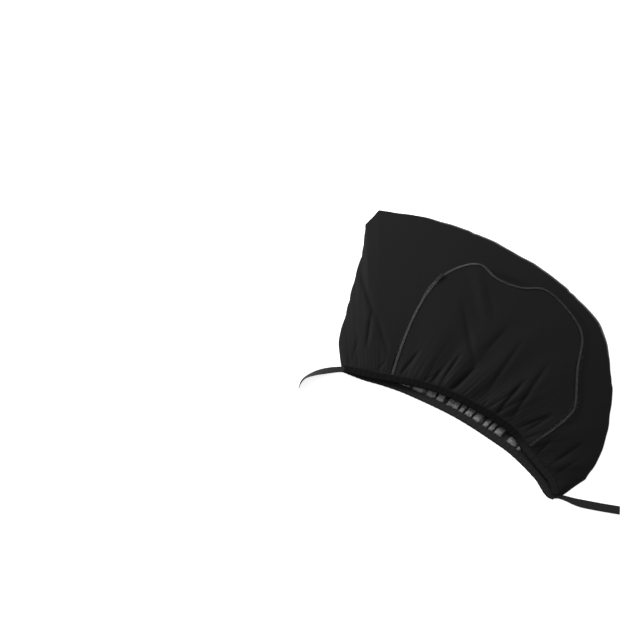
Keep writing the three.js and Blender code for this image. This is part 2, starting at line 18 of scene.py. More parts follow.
import bpy
import numpy as np
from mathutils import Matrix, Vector


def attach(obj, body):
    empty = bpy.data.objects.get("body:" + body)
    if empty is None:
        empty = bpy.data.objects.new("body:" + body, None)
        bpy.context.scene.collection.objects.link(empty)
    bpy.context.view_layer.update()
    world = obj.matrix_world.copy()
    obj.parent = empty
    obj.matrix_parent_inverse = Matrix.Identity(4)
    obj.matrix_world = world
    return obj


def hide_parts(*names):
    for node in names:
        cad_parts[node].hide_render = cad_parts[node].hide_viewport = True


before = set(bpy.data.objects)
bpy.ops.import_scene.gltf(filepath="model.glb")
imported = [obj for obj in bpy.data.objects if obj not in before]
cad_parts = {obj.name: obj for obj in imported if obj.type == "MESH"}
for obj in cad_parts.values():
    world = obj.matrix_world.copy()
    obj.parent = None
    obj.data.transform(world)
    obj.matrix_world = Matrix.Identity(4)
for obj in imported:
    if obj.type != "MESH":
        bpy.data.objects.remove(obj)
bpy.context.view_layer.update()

LOG = logging.getLogger("sunshade")
MM = 0.001
MOUTH_CORNER = (-0.235884, -0.226223)
SHARP_ANGLE = math.radians(48)
SHADE_BODY = "shade"

Array = np.ndarray
Row = Sequence[float]


class Side(Enum):
    """Side of the zip's centre line."""

    OUTER = 1
    INNER = -1


# Curves in plan


def catmull_rom(points: Array, samples: int) -> Array:
    """Samples a uniform Catmull-Rom curve through points.

    Args:
        points: Points the curve passes, one row each.
        samples: Samples on each span.

    Returns:
        Points along the curve, the last one included.
    """
    padded = np.vstack([points[:1], points, points[-1:]])
    share = np.arange(samples)[:, None] / samples
    spans = []
    for p0, p1, p2, p3 in zip(padded, padded[1:], padded[2:], padded[3:]):
        v0, v1 = 0.5 * (p2 - p0), 0.5 * (p3 - p1)
        cubic = (2 * p1 - 2 * p2 + v0 + v1) * share**3
        square = (-3 * p1 + 3 * p2 - 2 * v0 - v1) * share**2
        spans.append(cubic + square + v0 * share + p1)
    return np.vstack([*spans, points[-1:]])


def scaled(shares: Sequence[Row], across: float, up: float) -> list[Row]:
    """Returns points of the plan from shares of a length across and a length up."""
    return [(x * across, y * up) for x, y in shares]


class PlanPath:
    """A path in plan, joined from smooth runs, read by its share of the whole length."""

    def __init__(self, *runs: Sequence[Row], samples: int = 48) -> None:
        """Builds the path.

        Args:
            runs: Points of each smooth run; a run starts where the last one ended.
            samples: Samples on each span of a run.
        """
        lines = [catmull_rom(np.array(run, float), samples) for run in runs]
        self.points = np.vstack([lines[0], *(line[1:] for line in lines[1:])])
        steps = np.linalg.norm(np.diff(self.points, axis=0), axis=1)
        self.reach = np.concatenate([[0.0], np.cumsum(steps)])
        self.length = float(self.reach[-1])
        ends = np.cumsum([len(line) - 1 for line in lines])[:-1]
        self.corners = [float(self.reach[end] / self.length) for end in ends]

    def at(self, share: Array | float) -> Array:
        """Returns the points at shares of the length."""
        place = np.clip(np.asarray(share, float), 0, 1) * self.length
        return np.stack([np.interp(place, self.reach, self.points[:, k]) for k in (0, 1)], axis=-1)

    def nearest(self, spots: Array) -> Array:
        """Returns the share of the length at the path's point nearest to each spot."""
        points, share = self.points[::2], self.reach[::2] / self.length
        gaps = (spots[:, :1] - points[:, 0]) ** 2 + (spots[:, 1:] - points[:, 1]) ** 2
        return share[np.argmin(gaps, axis=1)]

    def tangent(self, share: Array | float) -> Array:
        """Returns the unit tangents at shares of the length."""
        step = 0.4 / self.length
        low = np.clip(np.asarray(share, float) - step, 0, 1 - 2 * step)
        run = self.at(low + 2 * step) - self.at(low)
        return run / np.linalg.norm(run, axis=-1, keepdims=True)

    def wavered(self, waves: Sequence[Row], dents: Sequence[Row]) -> PlanPath:
        """Returns the path with slow waves and small dents, still through both of its ends.

        Args:
            waves: Count along the path, phase and height of each wave.
            dents: Share of the length, half width as a share, and depth of each dent.

        Returns:
            The wavered path, with the same corners.
        """
        share = self.reach / self.length
        hold = np.min([np.abs(share - corner) for corner in (0.0, 1.0, *self.corners)], axis=0)
        shift = sum(height * np.sin(2 * np.pi * count * share + phase) for count, phase, height in waves)
        shift = shift - sum(depth * np.exp(-(((share - spot) / half) ** 2)) for spot, half, depth in dents)
        path = copy(self)
        path.points = self.offset(share, shift * smoothstep(hold, 0.0, 0.02))
        return path

    def offset(self, share: Array | float, distance: Array | float) -> Array:
        """Returns points at a distance to the left of the path."""
        tangent = self.tangent(share)
        normal = np.stack([-tangent[..., 1], tangent[..., 0]], axis=-1)
        return self.at(share) + normal * np.asarray(distance, float)[..., None]


def smoothstep(value: Array | float, low: float, high: float) -> Array:
    """Returns 0 below low, 1 above high and a smooth rise between them."""
    share = np.clip((np.asarray(value, float) - low) / (high - low), 0, 1)
    return share * share * (3 - 2 * share)


def swell(along: Array | float, power: float) -> Array:
    """Returns a bulge that is 0 at both ends and 1 in the middle."""
    return np.sin(np.pi * np.clip(np.asarray(along, float), 0, 1)).clip(0) ** power


def distance_to_line(spots: Array, line: Array) -> Array:
    """Returns each spot's distance to a polyline in plan."""
    best = np.full(len(spots), np.inf)
    for start, end in zip(line, line[1:]):
        run = end - start
        share = np.clip((spots - start) @ run / max(run @ run, 1e-12), 0, 1)
        gap = np.linalg.norm(spots - start - share[:, None] * run, axis=1)
        best = np.minimum(best, gap)
    return best


def inside(spots: Array, outline: Array) -> Array:
    """Returns which spots lie inside a closed outline."""
    odd = np.zeros(len(spots), bool)
    for (x0, y0), (x1, y1) in zip(outline, np.roll(outline, -1, axis=0)):
        if y0 == y1:
            continue
        spans = (spots[:, 1] < y0) != (spots[:, 1] < y1)
        odd ^= spans & (spots[:, 0] < x0 + (spots[:, 1] - y0) * (x1 - x0) / (y1 - y0))
    return odd


@dataclass(frozen=True)
class Crease:
    """A fold of the front layer that runs between two points of the plan."""

    start: tuple[float, float]
    end: tuple[float, float]
    width: float
    height: float
    sharpness: float = 1.5
    shoulder_height: float = 0.3
    shoulder_width: float = 2.2
    fullness: float = 1.3

    def lift(self, spots: Array) -> Array:
        """Returns the height that the fold adds at each spot."""
        run = np.subtract(self.end, self.start)
        share = np.clip((spots - self.start) @ run / (run @ run), 0, 1)
        gap = np.linalg.norm(spots - self.start - share[..., None] * run, axis=-1)
        taper = np.sin(np.pi * np.clip(share, 0.03, 0.97)) ** 0.5
        ridge = np.exp(-((gap / self.width) ** self.sharpness))
        shoulder = self.shoulder_height * np.exp(-((gap / (self.shoulder_width * self.width)) ** 2))
        return self.fullness * self.height * taper * (ridge - shoulder)


@dataclass(frozen=True)
class ShadeForm:
    """Sizes of the shade in millimetres, and the curves and heights that follow from them."""

    mouth_width: float = 560
    crown_height: float = 550
    left_reach: float = 219
    left_corner_height: float = 470
    left_shoulder_height: float = 408
    right_reach: float = 32
    right_corner_height: float = 80
    seam_allowance: float = 1.5
    mesh_show: float = 4
    mesh_thickness: float = 1.0
    front_thickness: float = 1.2
    clearance: float = 0.3
    pillow_height: float = 9
    fan_exponent: float = 1.7
    casing_width: float = 18
    casing_thickness: float = 3.6
    hem_lift: float = 10
    front_hem_rise: float = 89
    rear_hem_rise: float = 54
    gather_count: float = 24
    gather_height: float = 3.0
    gather_reach: float = 55
    gather_start: float = 12
    fold_count: float = 8
    fold_height: float = 3.2
    fold_reach: float = 190
    deep_fold: float = 4.5
    ruffle_height: float = 10
    ruffle_reach: float = 30
    ruffle_start: float = 6
    tape_half_width: float = 6
    tape_thickness: float = 0.8
    coil_width: float = 2.6
    coil_height: float = 1.8
    open_gap: float = 3
    slider_place: float = 336
    zip_foot_inset: float = 106
    left_strap_reach: float = 100
    right_strap_reach: float = 128

    @cached_property
    def seam(self) -> PlanPath:
        """Returns the front layer's seam line as it lies, slightly wavy."""
        waves = [(9, 0.4, 0.9), (16, 2.1, 0.7), (29, 0.9, 0.4)]
        dents = [
            (0.118, 0.008, 2.2),
            (0.206, 0.006, 2.4),
            (0.455, 0.005, 2.2),
            (0.628, 0.004, 2.6),
            (0.795, 0.006, 1.6),
        ]
        return self.plain_seam.wavered(waves, dents)

    @cached_property
    def plain_seam(self) -> PlanPath:
        """Returns the seam line, from the mouth's left end over the crown."""
        width, crown = self.mouth_width, self.crown_height
        left, corner, shoulder = self.left_reach, self.left_corner_height, self.left_shoulder_height
        reach, low = self.right_reach, self.right_corner_height
        right = width + reach
        left_side = [(-0.0365, 0.017), (-0.274, 0.172), (-0.47, 0.41), (-0.685, 0.67)]
        left_side += [(-0.868, 0.89), (-1, 1)]
        crown_shares = [(0.036, 0.991), (0.232, 1), (0.446, 0.978), (0.625, 0.924), (0.78, 0.833)]
        crown_shares += [(0.905, 0.664), (0.99, 0.5)]
        return PlanPath(
            scaled(left_side, left, shoulder),
            [(-left, shoulder), (-left, corner)],
            [
                (-left, corner),
                (-0.46 * left, corner + 0.63 * (crown - corner)),
                *scaled(crown_shares, width, crown),
                (right - 0.156 * reach, 0.305 * crown),
                (right, low),
            ],
            [(right, low), (width + 0.5 * reach, 0.4 * low), (width + 0.22 * reach, 0.1125 * low)],
        )

    @cached_property
    def front_hem(self) -> PlanPath:
        """Returns the centre line of the front hem."""
        shares = [(0.0036, 0.034), (0.115, 0.27), (0.225, 0.55), (0.35, 0.83), (0.48, 0.97), (0.62, 1)]
        shares += [(0.725, 0.93), (0.813, 0.68), (0.92, 0.41), (0.96, 0.31), (0.998, 0.067)]
        return PlanPath(scaled(shares, self.mouth_width, self.front_hem_rise))

    @cached_property
    def rear_hem(self) -> PlanPath:
        """Returns the centre line of the rear hem."""
        shares = [(0.007, 0.093), (0.09, 0.26), (0.18, 0.54), (0.29, 0.78), (0.5, 1), (0.71, 0.91)]
        shares += [(0.8, 0.76), (0.9, 0.44), (0.939, 0.222), (0.966, 0.055), (0.984, 0.01), (0.995, 0.04)]
        return PlanPath(scaled(shares, self.mouth_width, self.rear_hem_rise))

    @cached_property
    def zip_line(self) -> PlanPath:
        """Returns the zip's centre line, from its left foot over the arch to its right foot."""
        inset, crown, width = self.zip_foot_inset, self.crown_height, self.mouth_width
        rise = self.front_hem_rise
        left_leg = [(0.774, 0.204), (0.557, 0.345), (0.415, 0.469), (0.33, 0.585), (0.377, 0.687)]
        left_leg += [(0.604, 0.789), (0.925, 0.838)]
        arch = [(0.275, 0.811), (0.382, 0.829), (0.471, 0.887), (0.596, 0.851), (0.72, 0.76)]
        arch += [(0.793, 0.578), (0.864, 0.425), (0.873, 0.356), (0.85, 0.247)]
        foot = (0.804 * width, 0.6 * rise)
        left_foot = (inset, 0.5 * rise)
        return PlanPath([left_foot, *scaled(left_leg, inset, crown), *scaled(arch, width, crown), foot])

    @property
    def left_strap(self) -> list[Row]:
        """Returns the line of the left strap, from its sewn root to its free end."""
        places = [(0.1, 0.06), (-0.02, 0.02), (-0.14, -0.07), (-0.32, -0.26)]
        places += [(-0.48, -0.5), (-0.57, -0.76), (-0.53, -1)]
        return scaled(places, self.left_strap_reach, self.left_strap_reach)

    @property
    def right_strap(self) -> list[Row]:
        """Returns the line of the right strap, from its sewn root to its free end."""
        places = [(-0.05, -0.02), (0.04, 0.055), (0.17, 0.1), (0.375, 0.156), (0.6875, 0.29), (1, 0.4375)]
        reach = self.right_strap_reach
        return [(self.mouth_width + x * reach, y * reach) for x, y in places]

    @cached_property
    def creases(self) -> list[Crease]:
        """Returns the folds that stand out from the gathers."""
        rows = [
            ((-150, 275), (-25, 165), 8, -4.4), ((-40, 174), (10, 82), 5.5, -5.0),
            ((-22, 92), (3, 32), 5, -2.8), ((-30, 178), (62, 96), 7, -2.8),
            ((69, 72), (69, 38), 3.6, -2.6), ((95, 440), (196, 318), 15, 4.4),
            ((114, 446), (214, 326), 9, -2.4), ((120, 330), (250, 178), 9, -2.8),
            ((118, 452), (236, 470), 13, -4.2), ((118, 140), (119, 52), 5, -4.0),
            ((182, 104), (171, 74), 3.6, -2.4), ((188, 128), (189, 78), 4, -3.0),
            ((202, 190), (209, 84), 5, -4.2), ((250, 178), (236, 86), 5, -4.4),
            ((250, 325), (246, 235), 8, -2.2), ((300, 310), (306, 140), 7, -2.6),
            ((319, 118), (319, 92), 3.6, -3.0), ((360, 214), (354, 94), 5.5, -5.0),
            ((381, 290), (388, 98), 6.5, -3.6), ((455, 172), (406, 90), 5.5, -4.0),
            ((456, 170), (428, 92), 5, -3.4), ((487, 110), (478, 60), 4.6, -3.4),
            ((546, 150), (514, 52), 5.5, -4.4), ((560, 112), (535, 42), 4.6, -3.2),
        ]
        return [Crease(*row) for row in rows]

    @property
    def front_hem_base(self) -> float:
        """Returns the height of the front hem's middle at the mouth's corners."""
        return 1.5 * self.casing_thickness + self.clearance

    @property
    def seam_base(self) -> float:
        """Returns the height of the front layer's middle at the seam."""
        return self.mesh_thickness + self.clearance + 0.5 * self.front_thickness

    def front_hem_height(self, along: Array | float) -> Array:
        """Returns the height of the front hem's middle at shares of its length."""
        return self.front_hem_base + self.hem_lift * swell(along, 0.7)

    def rear_hem_height(self, along: Array) -> Array:
        """Returns the height of the rear hem's middle, which lies flat."""
        return np.full(len(along), 0.5 * self.casing_thickness)

    def base_height(self, along: Array, across: Array) -> Array:
        """Returns the front layer's height without its folds."""
        drop = (self.front_hem_height(along) - self.seam_base) * (1 - across) ** 1.2
        return self.seam_base + drop + self.pillow_height * swell(along, 0.5) * swell(across, 0.8)

    def front_height(self, along: Array, across: Array, distance: Array, spots: Array) -> Array:
        """Returns the height of the front layer's middle.

        Args:
            along: Share along the front hem.
            across: Share from the hem to the seam.
            distance: Distance from the hem.
            spots: Plan points, for the folds that have a place of their own.

        Returns:
            Heights in millimetres.
        """
        wander = 0.35 * np.sin(6 * np.pi * along)
        gather = gathered(self.gather_count * along + wander) * self.gather_height
        fullness = 0.55 + 0.35 * np.sin(10 * np.pi * along + 1.7) + 0.3 * np.sin(43 * along + 0.6)
        gather = gather * fullness
        sway = 0.3 * np.sin(4 * np.pi * along + 1)
        fold = self.fold_height * np.cos(2 * np.pi * (self.fold_count * along + sway))
        waves = gather * np.exp(-distance / self.gather_reach) + fold * np.exp(-distance / self.fold_reach)
        fade = (1 - np.exp(-distance / self.gather_start)) * (1 - across**3) * swell(along, 0.5)
        lift = sum(crease.lift(spots) for crease in self.creases)
        return self.base_height(along, across) + waves * fade + lift * fade

    def hollow(self, spots: Array) -> Array:
        """Returns how deep in a fold each plan point lies, 0 to 1."""
        return np.clip(-sum(crease.lift(spots) for crease in self.creases) / self.deep_fold, 0, 1)

    @cached_property
    def tufts(self) -> list[tuple[float, float]]:
        """Returns where each tuft of the mesh layer starts and ends between the hems, in X."""
        starts = [124, 158, 192, 219, 244, 259, 276, 292, 313, 342, 355, 371, 404, 431]
        ends = [156, 189, 215, 239, 256, 273, 289, 309, 333, 353, 366, 390, 428, 439]
        return list(zip(starts, ends))

    def ruffle(self, along: Array, across: Array, distance: Array) -> Array:
        """Returns the mesh layer's ruffles beside its hem, 0 in the furrows and 1 on the crests."""
        place = self.rear_hem.at(along)[:, 0]
        wave = sum(swell((place - start) / (end - start), 0.4) for start, end in self.tufts)
        rise = 1 - np.exp(-distance / self.ruffle_start)
        return wave * rise * np.exp(-distance / self.ruffle_reach) * swell(along, 0.5) * (1 - across) ** 2

    def rear_height(self, along: Array, across: Array, distance: Array) -> Array:
        """Returns the height of the mesh layer's middle."""
        return 0.5 * self.mesh_thickness + self.ruffle_height * self.ruffle(along, across, distance)

    def mesh_edge(self, place: Array) -> Array:
        """Returns the edge of the mesh layer, which shows past the front layer's upper right."""
        show = smoothstep(place, 0.34, 0.42) * (1 - smoothstep(place, 0.7, 0.8))
        return self.seam.offset(place, self.seam_allowance + self.mesh_show * show)


def gathered(turns: Array) -> Array:
    """Returns a wave with round crests and sharp troughs, from -1 to 1, at counts of turns."""
    return 2 * np.abs(np.cos(np.pi * turns)) ** 0.8 - 1


FORM = ShadeForm()


# Meshes


def new_object(name: str, points: Array, faces: Sequence[Sequence[int]], uv: Array) -> bpy.types.Object:
    """Makes a mesh object from plan millimetres.

    Args:
        name: Name of the piece.
        points: Vertices, in millimetres from the mouth's corner.
        faces: Vertex numbers of each face, counter-clockwise from outside.
        uv: Texture coordinates of each vertex, in metres.

    Returns:
        The object, linked to the scene.
    """
    place = np.array([*MOUTH_CORNER, 0.0])
    mesh = bpy.data.meshes.new(name)
    mesh.from_pydata((points * MM + place).tolist(), [], [tuple(map(int, face)) for face in faces])
    loops = np.empty(len(mesh.loops), np.int32)
    mesh.loops.foreach_get("vertex_index", loops)
    layer = mesh.uv_layers.new(name="cloth")
    layer.uv.foreach_set("vector", uv[loops].astype(np.float32).ravel())
    mesh.polygons.foreach_set("use_smooth", np.ones(len(mesh.polygons), bool))
    mesh.set_sharp_from_angle(angle=SHARP_ANGLE)
    mesh.update()
    piece = bpy.data.objects.new(name, mesh)
    bpy.context.scene.collection.objects.link(piece)
    return piece


@dataclass
class Patch:
    """A surface over the plan: points in millimetres, faces seen from above and texture places."""

    points: Array
    faces: list[tuple[int, ...]]
    uv: Array

    def clipped(self, signed: Array) -> Patch:
        """Returns the part of the patch where a signed distance isn't negative."""
        keep = (signed >= 0).tolist()
        points, uv = list(self.points), list(self.uv)
        cut: dict[tuple[int, int], int] = {}
        faces: list[tuple[int, ...]] = []
        for face in self.faces:
            kept = [keep[i] for i in face]
            if all(kept):
                faces.append(face)
            elif any(kept):
                ring: list[int] = []
                for a, b in zip(face, face[1:] + face[:1]):
                    if keep[a]:
                        ring.append(a)
                    if keep[a] != keep[b]:
                        key = (min(a, b), max(a, b))
                        if key not in cut:
                            share = signed[a] / (signed[a] - signed[b])
                            cut[key] = len(points)
                            points.append(points[a] + share * (points[b] - points[a]))
                            uv.append(uv[a] + share * (uv[b] - uv[a]))
                        ring.append(cut[key])
                faces.append(tuple(ring))
        return Patch(np.array(points), faces, np.array(uv))

    def solid(self, name: str, thickness: float, **marks: Array) -> bpy.types.Object:
        """Makes the patch a closed sheet.

        Args:
            name: Name of the piece.
            thickness: Thickness of the cloth in millimetres, half above the points.
            marks: Numbers for each point that the piece keeps as attributes.

        Returns:
            The object.
        """
        used = np.unique(np.concatenate([np.array(face) for face in self.faces]))
        number = np.full(len(self.points), -1)
        number[used] = np.arange(len(used))
        top = [tuple(number[list(face)].tolist()) for face in self.faces]
        count = len(used)
        edges = {(a, b) for face in top for a, b in zip(face, face[1:] + face[:1])}
        rim = [(a, a + count, b + count, b) for a, b in edges if (b, a) not in edges]
        rim.sort()
        bottom = [tuple(i + count for i in reversed(face)) for face in top]
        lift = np.array([0, 0, 0.5 * thickness])
        points = np.vstack([self.points[used] + lift, self.points[used] - lift])
        piece = new_object(name, points, [*top, *bottom, *rim], np.vstack([self.uv[used]] * 2))
        for mark, values in marks.items():
            layer = piece.data.attributes.new(mark, "FLOAT", "POINT")
            layer.data.foreach_set("value", np.tile(values[used], 2).astype(np.float32))
        return piece


def grid_faces(columns: int, rows: int) -> list[tuple[int, ...]]:
    """Returns the faces of a grid of points, columns running in X and rows in Y."""
    first = (np.arange(columns - 1)[:, None] * rows + np.arange(rows - 1)).ravel()
    quads = np.stack([first, first + rows, first + rows + 1, first + 1], axis=1)
    return [tuple(quad) for quad in quads.tolist()]


def swept(name: str, rings: Array, inner: Array | None = None) -> bpy.types.Object:
    """Makes a closed bar, or an open-ended sleeve, from rings of points.

    Args:
        name: Name of the piece.
        rings: Points of each ring, counter-clockwise about the way of travel, in millimetres.
        inner: Rings of the bore, where the piece is a sleeve.

    Returns:
        The object.
    """
    count, size = rings.shape[:2]
    start = np.arange(count - 1)[:, None] * size
    side = np.arange(size)[None, :]
    after = (side + 1) % size
    walls = np.stack([start + side, start + after, start + size + after, start + size + side], -1)
    walls = walls.reshape(-1, 4)
    last = (count - 1) * size
    points = rings.reshape(-1, 3)
    if inner is None:
        ends = [tuple(range(size))[::-1], tuple(range(last, last + size))]
        faces = [*walls.tolist(), *ends]
    else:
        shift = count * size
        points = np.vstack([points, inner.reshape(-1, 3)])
        ring = [(i, (i + 1) % size) for i in range(size)]
        near = [(i, shift + i, shift + j, j) for i, j in ring]
        far = [(last + i, last + j, shift + last + j, shift + last + i) for i, j in ring]
        faces = [*walls.tolist(), *(walls[:, ::-1] + shift).tolist(), *near, *far]
    around = np.linalg.norm(np.diff(rings[0], axis=0, prepend=rings[0][:1]), axis=1).cumsum()
    middles = rings.mean(axis=1)
    along = np.concatenate([[0], np.linalg.norm(np.diff(middles, axis=0), axis=1).cumsum()])
    uv = np.stack(np.broadcast_arrays(along[:, None], around[None, :]), -1).reshape(-1, 2) * MM
    return new_object(name, points, faces, uv if inner is None else np.vstack([uv, uv]))


# Runs of repeated pieces


@dataclass
class NodeTree:
    """A Geometry Nodes tree under construction."""

    tree: bpy.types.GeometryNodeTree
    sockets: dict[str, str] = field(default_factory=dict)

    @classmethod
    def named(cls, name: str) -> NodeTree:
        """Returns a new tree with its geometry sockets."""
        tree = bpy.data.node_groups.new(name, "GeometryNodeTree")
        tree.interface.new_socket("Geometry", in_out="INPUT", socket_type="NodeSocketGeometry")
        tree.interface.new_socket("Geometry", in_out="OUTPUT", socket_type="NodeSocketGeometry")
        tree.nodes.new("NodeGroupInput").name = "in"
        tree.nodes.new("NodeGroupOutput").name = "out"
        return cls(tree)

    def size(self, name: str, value: float) -> bpy.types.NodeSocket:
        """Adds a named number to the tree's inputs and returns its socket inside the tree."""
        socket = self.tree.interface.new_socket(name, in_out="INPUT", socket_type="NodeSocketFloat")
        socket.default_value = value
        self.sockets[name] = socket.identifier
        return self.tree.nodes["in"].outputs[name]

    def add(self, kind: str, settings: dict | None = None, **inputs: object) -> bpy.types.Node:
        """Adds a node.

        Args:
            kind: The node's type.
            settings: Properties set before the sockets.
            inputs: Values or output sockets by input name, with _ for a blank.

        Returns:
            The node.
        """
        node = self.tree.nodes.new(kind)
        for key, value in (settings or {}).items():
            setattr(node, key, value)
        for key, value in inputs.items():
            socket = node.inputs[key.replace("_", " ")]
            if isinstance(value, bpy.types.NodeSocket):
                self.tree.links.new(value, socket)
            else:
                socket.default_value = value
        return node


class RunShape(Enum):
    """What a run repeats along its path."""

    STITCH = "stitch"
    COIL_TURN = "coil turn"


@dataclass(frozen=True)
class Run:
    """A shape repeated along a path: stitches of a seam or turns of a coil."""

    shape: RunShape
    pitch: float
    length: float
    width: float
    height: float
    wire: float
    slant: float = 12

    def tree(self, material: bpy.types.Material) -> NodeTree:
        """Returns the Geometry Nodes tree that lays the shape along a curve."""
        nodes = NodeTree.named(f"run of {self.shape.value}")
        pitch = nodes.size("Pitch", self.pitch * MM)
        source = nodes.tree.nodes["in"].outputs["Geometry"]
        points = nodes.add("GeometryNodeCurveToPoints", {"mode": "LENGTH"}, Curve=source, Length=pitch)
        turn = nodes.add(
            "FunctionNodeAlignRotationToVector",
            {"axis": "X", "pivot_axis": "Z"},
            Vector=points.outputs["Tangent"],
        )
        tilt = nodes.add(
            "FunctionNodeAlignRotationToVector",
            {"axis": "X", "pivot_axis": "Y"},
            Rotation=turn.outputs[0],
            Vector=points.outputs["Tangent"],
        )
        laid = nodes.add(
            "GeometryNodeInstanceOnPoints",
            Points=points.outputs["Points"],
            Instance=self.shape_nodes(nodes),
            Rotation=tilt.outputs[0],
        )
        real = nodes.add("GeometryNodeRealizeInstances", Geometry=laid.outputs[0])
        dressed = nodes.add("GeometryNodeSetMaterial", Geometry=real.outputs[0], Material=material)
        nodes.tree.links.new(dressed.outputs[0], nodes.tree.nodes["out"].inputs[0])
        return nodes

    def shape_nodes(self, nodes: NodeTree) -> bpy.types.NodeSocket:
        """Adds the nodes of one shape, lying along X, and returns its geometry."""
        scale = (self.length * MM, self.width * MM, self.height * MM)
        upright_turn = (0, math.pi / 2, 0)
        if self.shape is RunShape.STITCH:
            ball = nodes.add("GeometryNodeMeshUVSphere", Segments=6, Rings=4, Radius=0.5)
            turned = nodes.add("GeometryNodeTransform", Geometry=ball.outputs[0], Rotation=upright_turn)
            return nodes.add("GeometryNodeTransform", Geometry=turned.outputs[0], Scale=scale).outputs[0]
        ring = nodes.add("GeometryNodeCurvePrimitiveCircle", {"mode": "RADIUS"}, Resolution=10, Radius=0.5)
        upright = nodes.add("GeometryNodeTransform", Geometry=ring.outputs[0], Rotation=upright_turn)
        slant = nodes.add(
            "GeometryNodeTransform",
            Geometry=upright.outputs[0],
            Scale=(1.0, self.width * MM, self.height * MM),
            Rotation=(0, 0, math.radians(self.slant)),
        )
        wire = nodes.add(
            "GeometryNodeCurvePrimitiveCircle", {"mode": "RADIUS"}, Resolution=5, Radius=self.wire * MM
        )
        return nodes.add(
            "GeometryNodeCurveToMesh", Curve=slant.outputs[0], Profile_Curve=wire.outputs[0]
        ).outputs[0]

    def along(self, name: str, line: Array, material: bpy.types.Material) -> bpy.types.Object:
        """Lays the run along a line of points.

        Args:
            name: Name of the piece.
            line: Points in millimetres from the mouth's corner.
            material: Finish of the shapes.

        Returns:
            A plain mesh object.
        """
        curve = bpy.data.curves.new(f"{name} line", "CURVE")
        curve.dimensions = "3D"
        spline = curve.splines.new("POLY")
        spline.points.add(len(line) - 1)
        place = line * MM + np.array([*MOUTH_CORNER, 0.0])
        spline.points.foreach_set("co", np.hstack([place, np.ones((len(line), 1))]).ravel())
        guide = bpy.data.objects.new(f"{name} guide", curve)
        bpy.context.scene.collection.objects.link(guide)
        nodes = self.tree(material)
        modifier = guide.modifiers.new("run", "NODES")
        modifier.node_group = nodes.tree
        modifier[nodes.sockets["Pitch"]] = self.pitch * MM
        scene_state = bpy.context.evaluated_depsgraph_get()
        mesh = bpy.data.meshes.new_from_object(guide.evaluated_get(scene_state), depsgraph=scene_state)
        bpy.data.objects.remove(guide)
        bpy.data.curves.remove(curve)
        bpy.data.node_groups.remove(nodes.tree)
        mesh.name = name
        mesh.polygons.foreach_set("use_smooth", np.ones(len(mesh.polygons), bool))
        piece = bpy.data.objects.new(name, mesh)
        bpy.context.scene.collection.objects.link(piece)
        return piece


# Finishes


class Amount:
    """A number that varies over a surface; its operators add Math nodes."""

    def __init__(self, shader: Shader, socket: bpy.types.NodeSocket) -> None:
        """Wraps a socket of a shader."""
        self.shader = shader
        self.socket = socket

    def math(self, operation: str, *others: Amount | float) -> Amount:
        """Returns the result of a Math node on this number and others."""
        return self.shader.number("ShaderNodeMath", {"operation": operation}, self, *others)

    def __add__(self, other: Amount | float) -> Amount:
        """Adds."""
        return self.math("ADD", other)

    def __radd__(self, other: float) -> Amount:
        """Adds."""
        return self.math("ADD", other)

    def __rsub__(self, other: float) -> Amount:
        """Subtracts from a plain number."""
        return self.math("MULTIPLY", -1.0).math("ADD", other)

    def __mul__(self, other: Amount | float) -> Amount:
        """Multiplies."""
        return self.math("MULTIPLY", other)

    def __rmul__(self, other: float) -> Amount:
        """Multiplies."""
        return self.math("MULTIPLY", other)

    def sine(self) -> Amount:
        """Returns the sine of an angle in radians."""
        return self.math("SINE")

    def ribs(self, pitch: float) -> Amount:
        """Returns round ribs at a pitch, 0 between them and 1 on top."""
        return (self * (math.pi / pitch)).sine().math("ABSOLUTE")

    def within(self, low: float, high: float) -> Amount:
        """Returns 0 at low, 1 at high and a straight rise between them."""
        return self.shader.number(
            "ShaderNodeMapRange", {"clamp": True}, self, low, high, 0.0, 1.0
        )


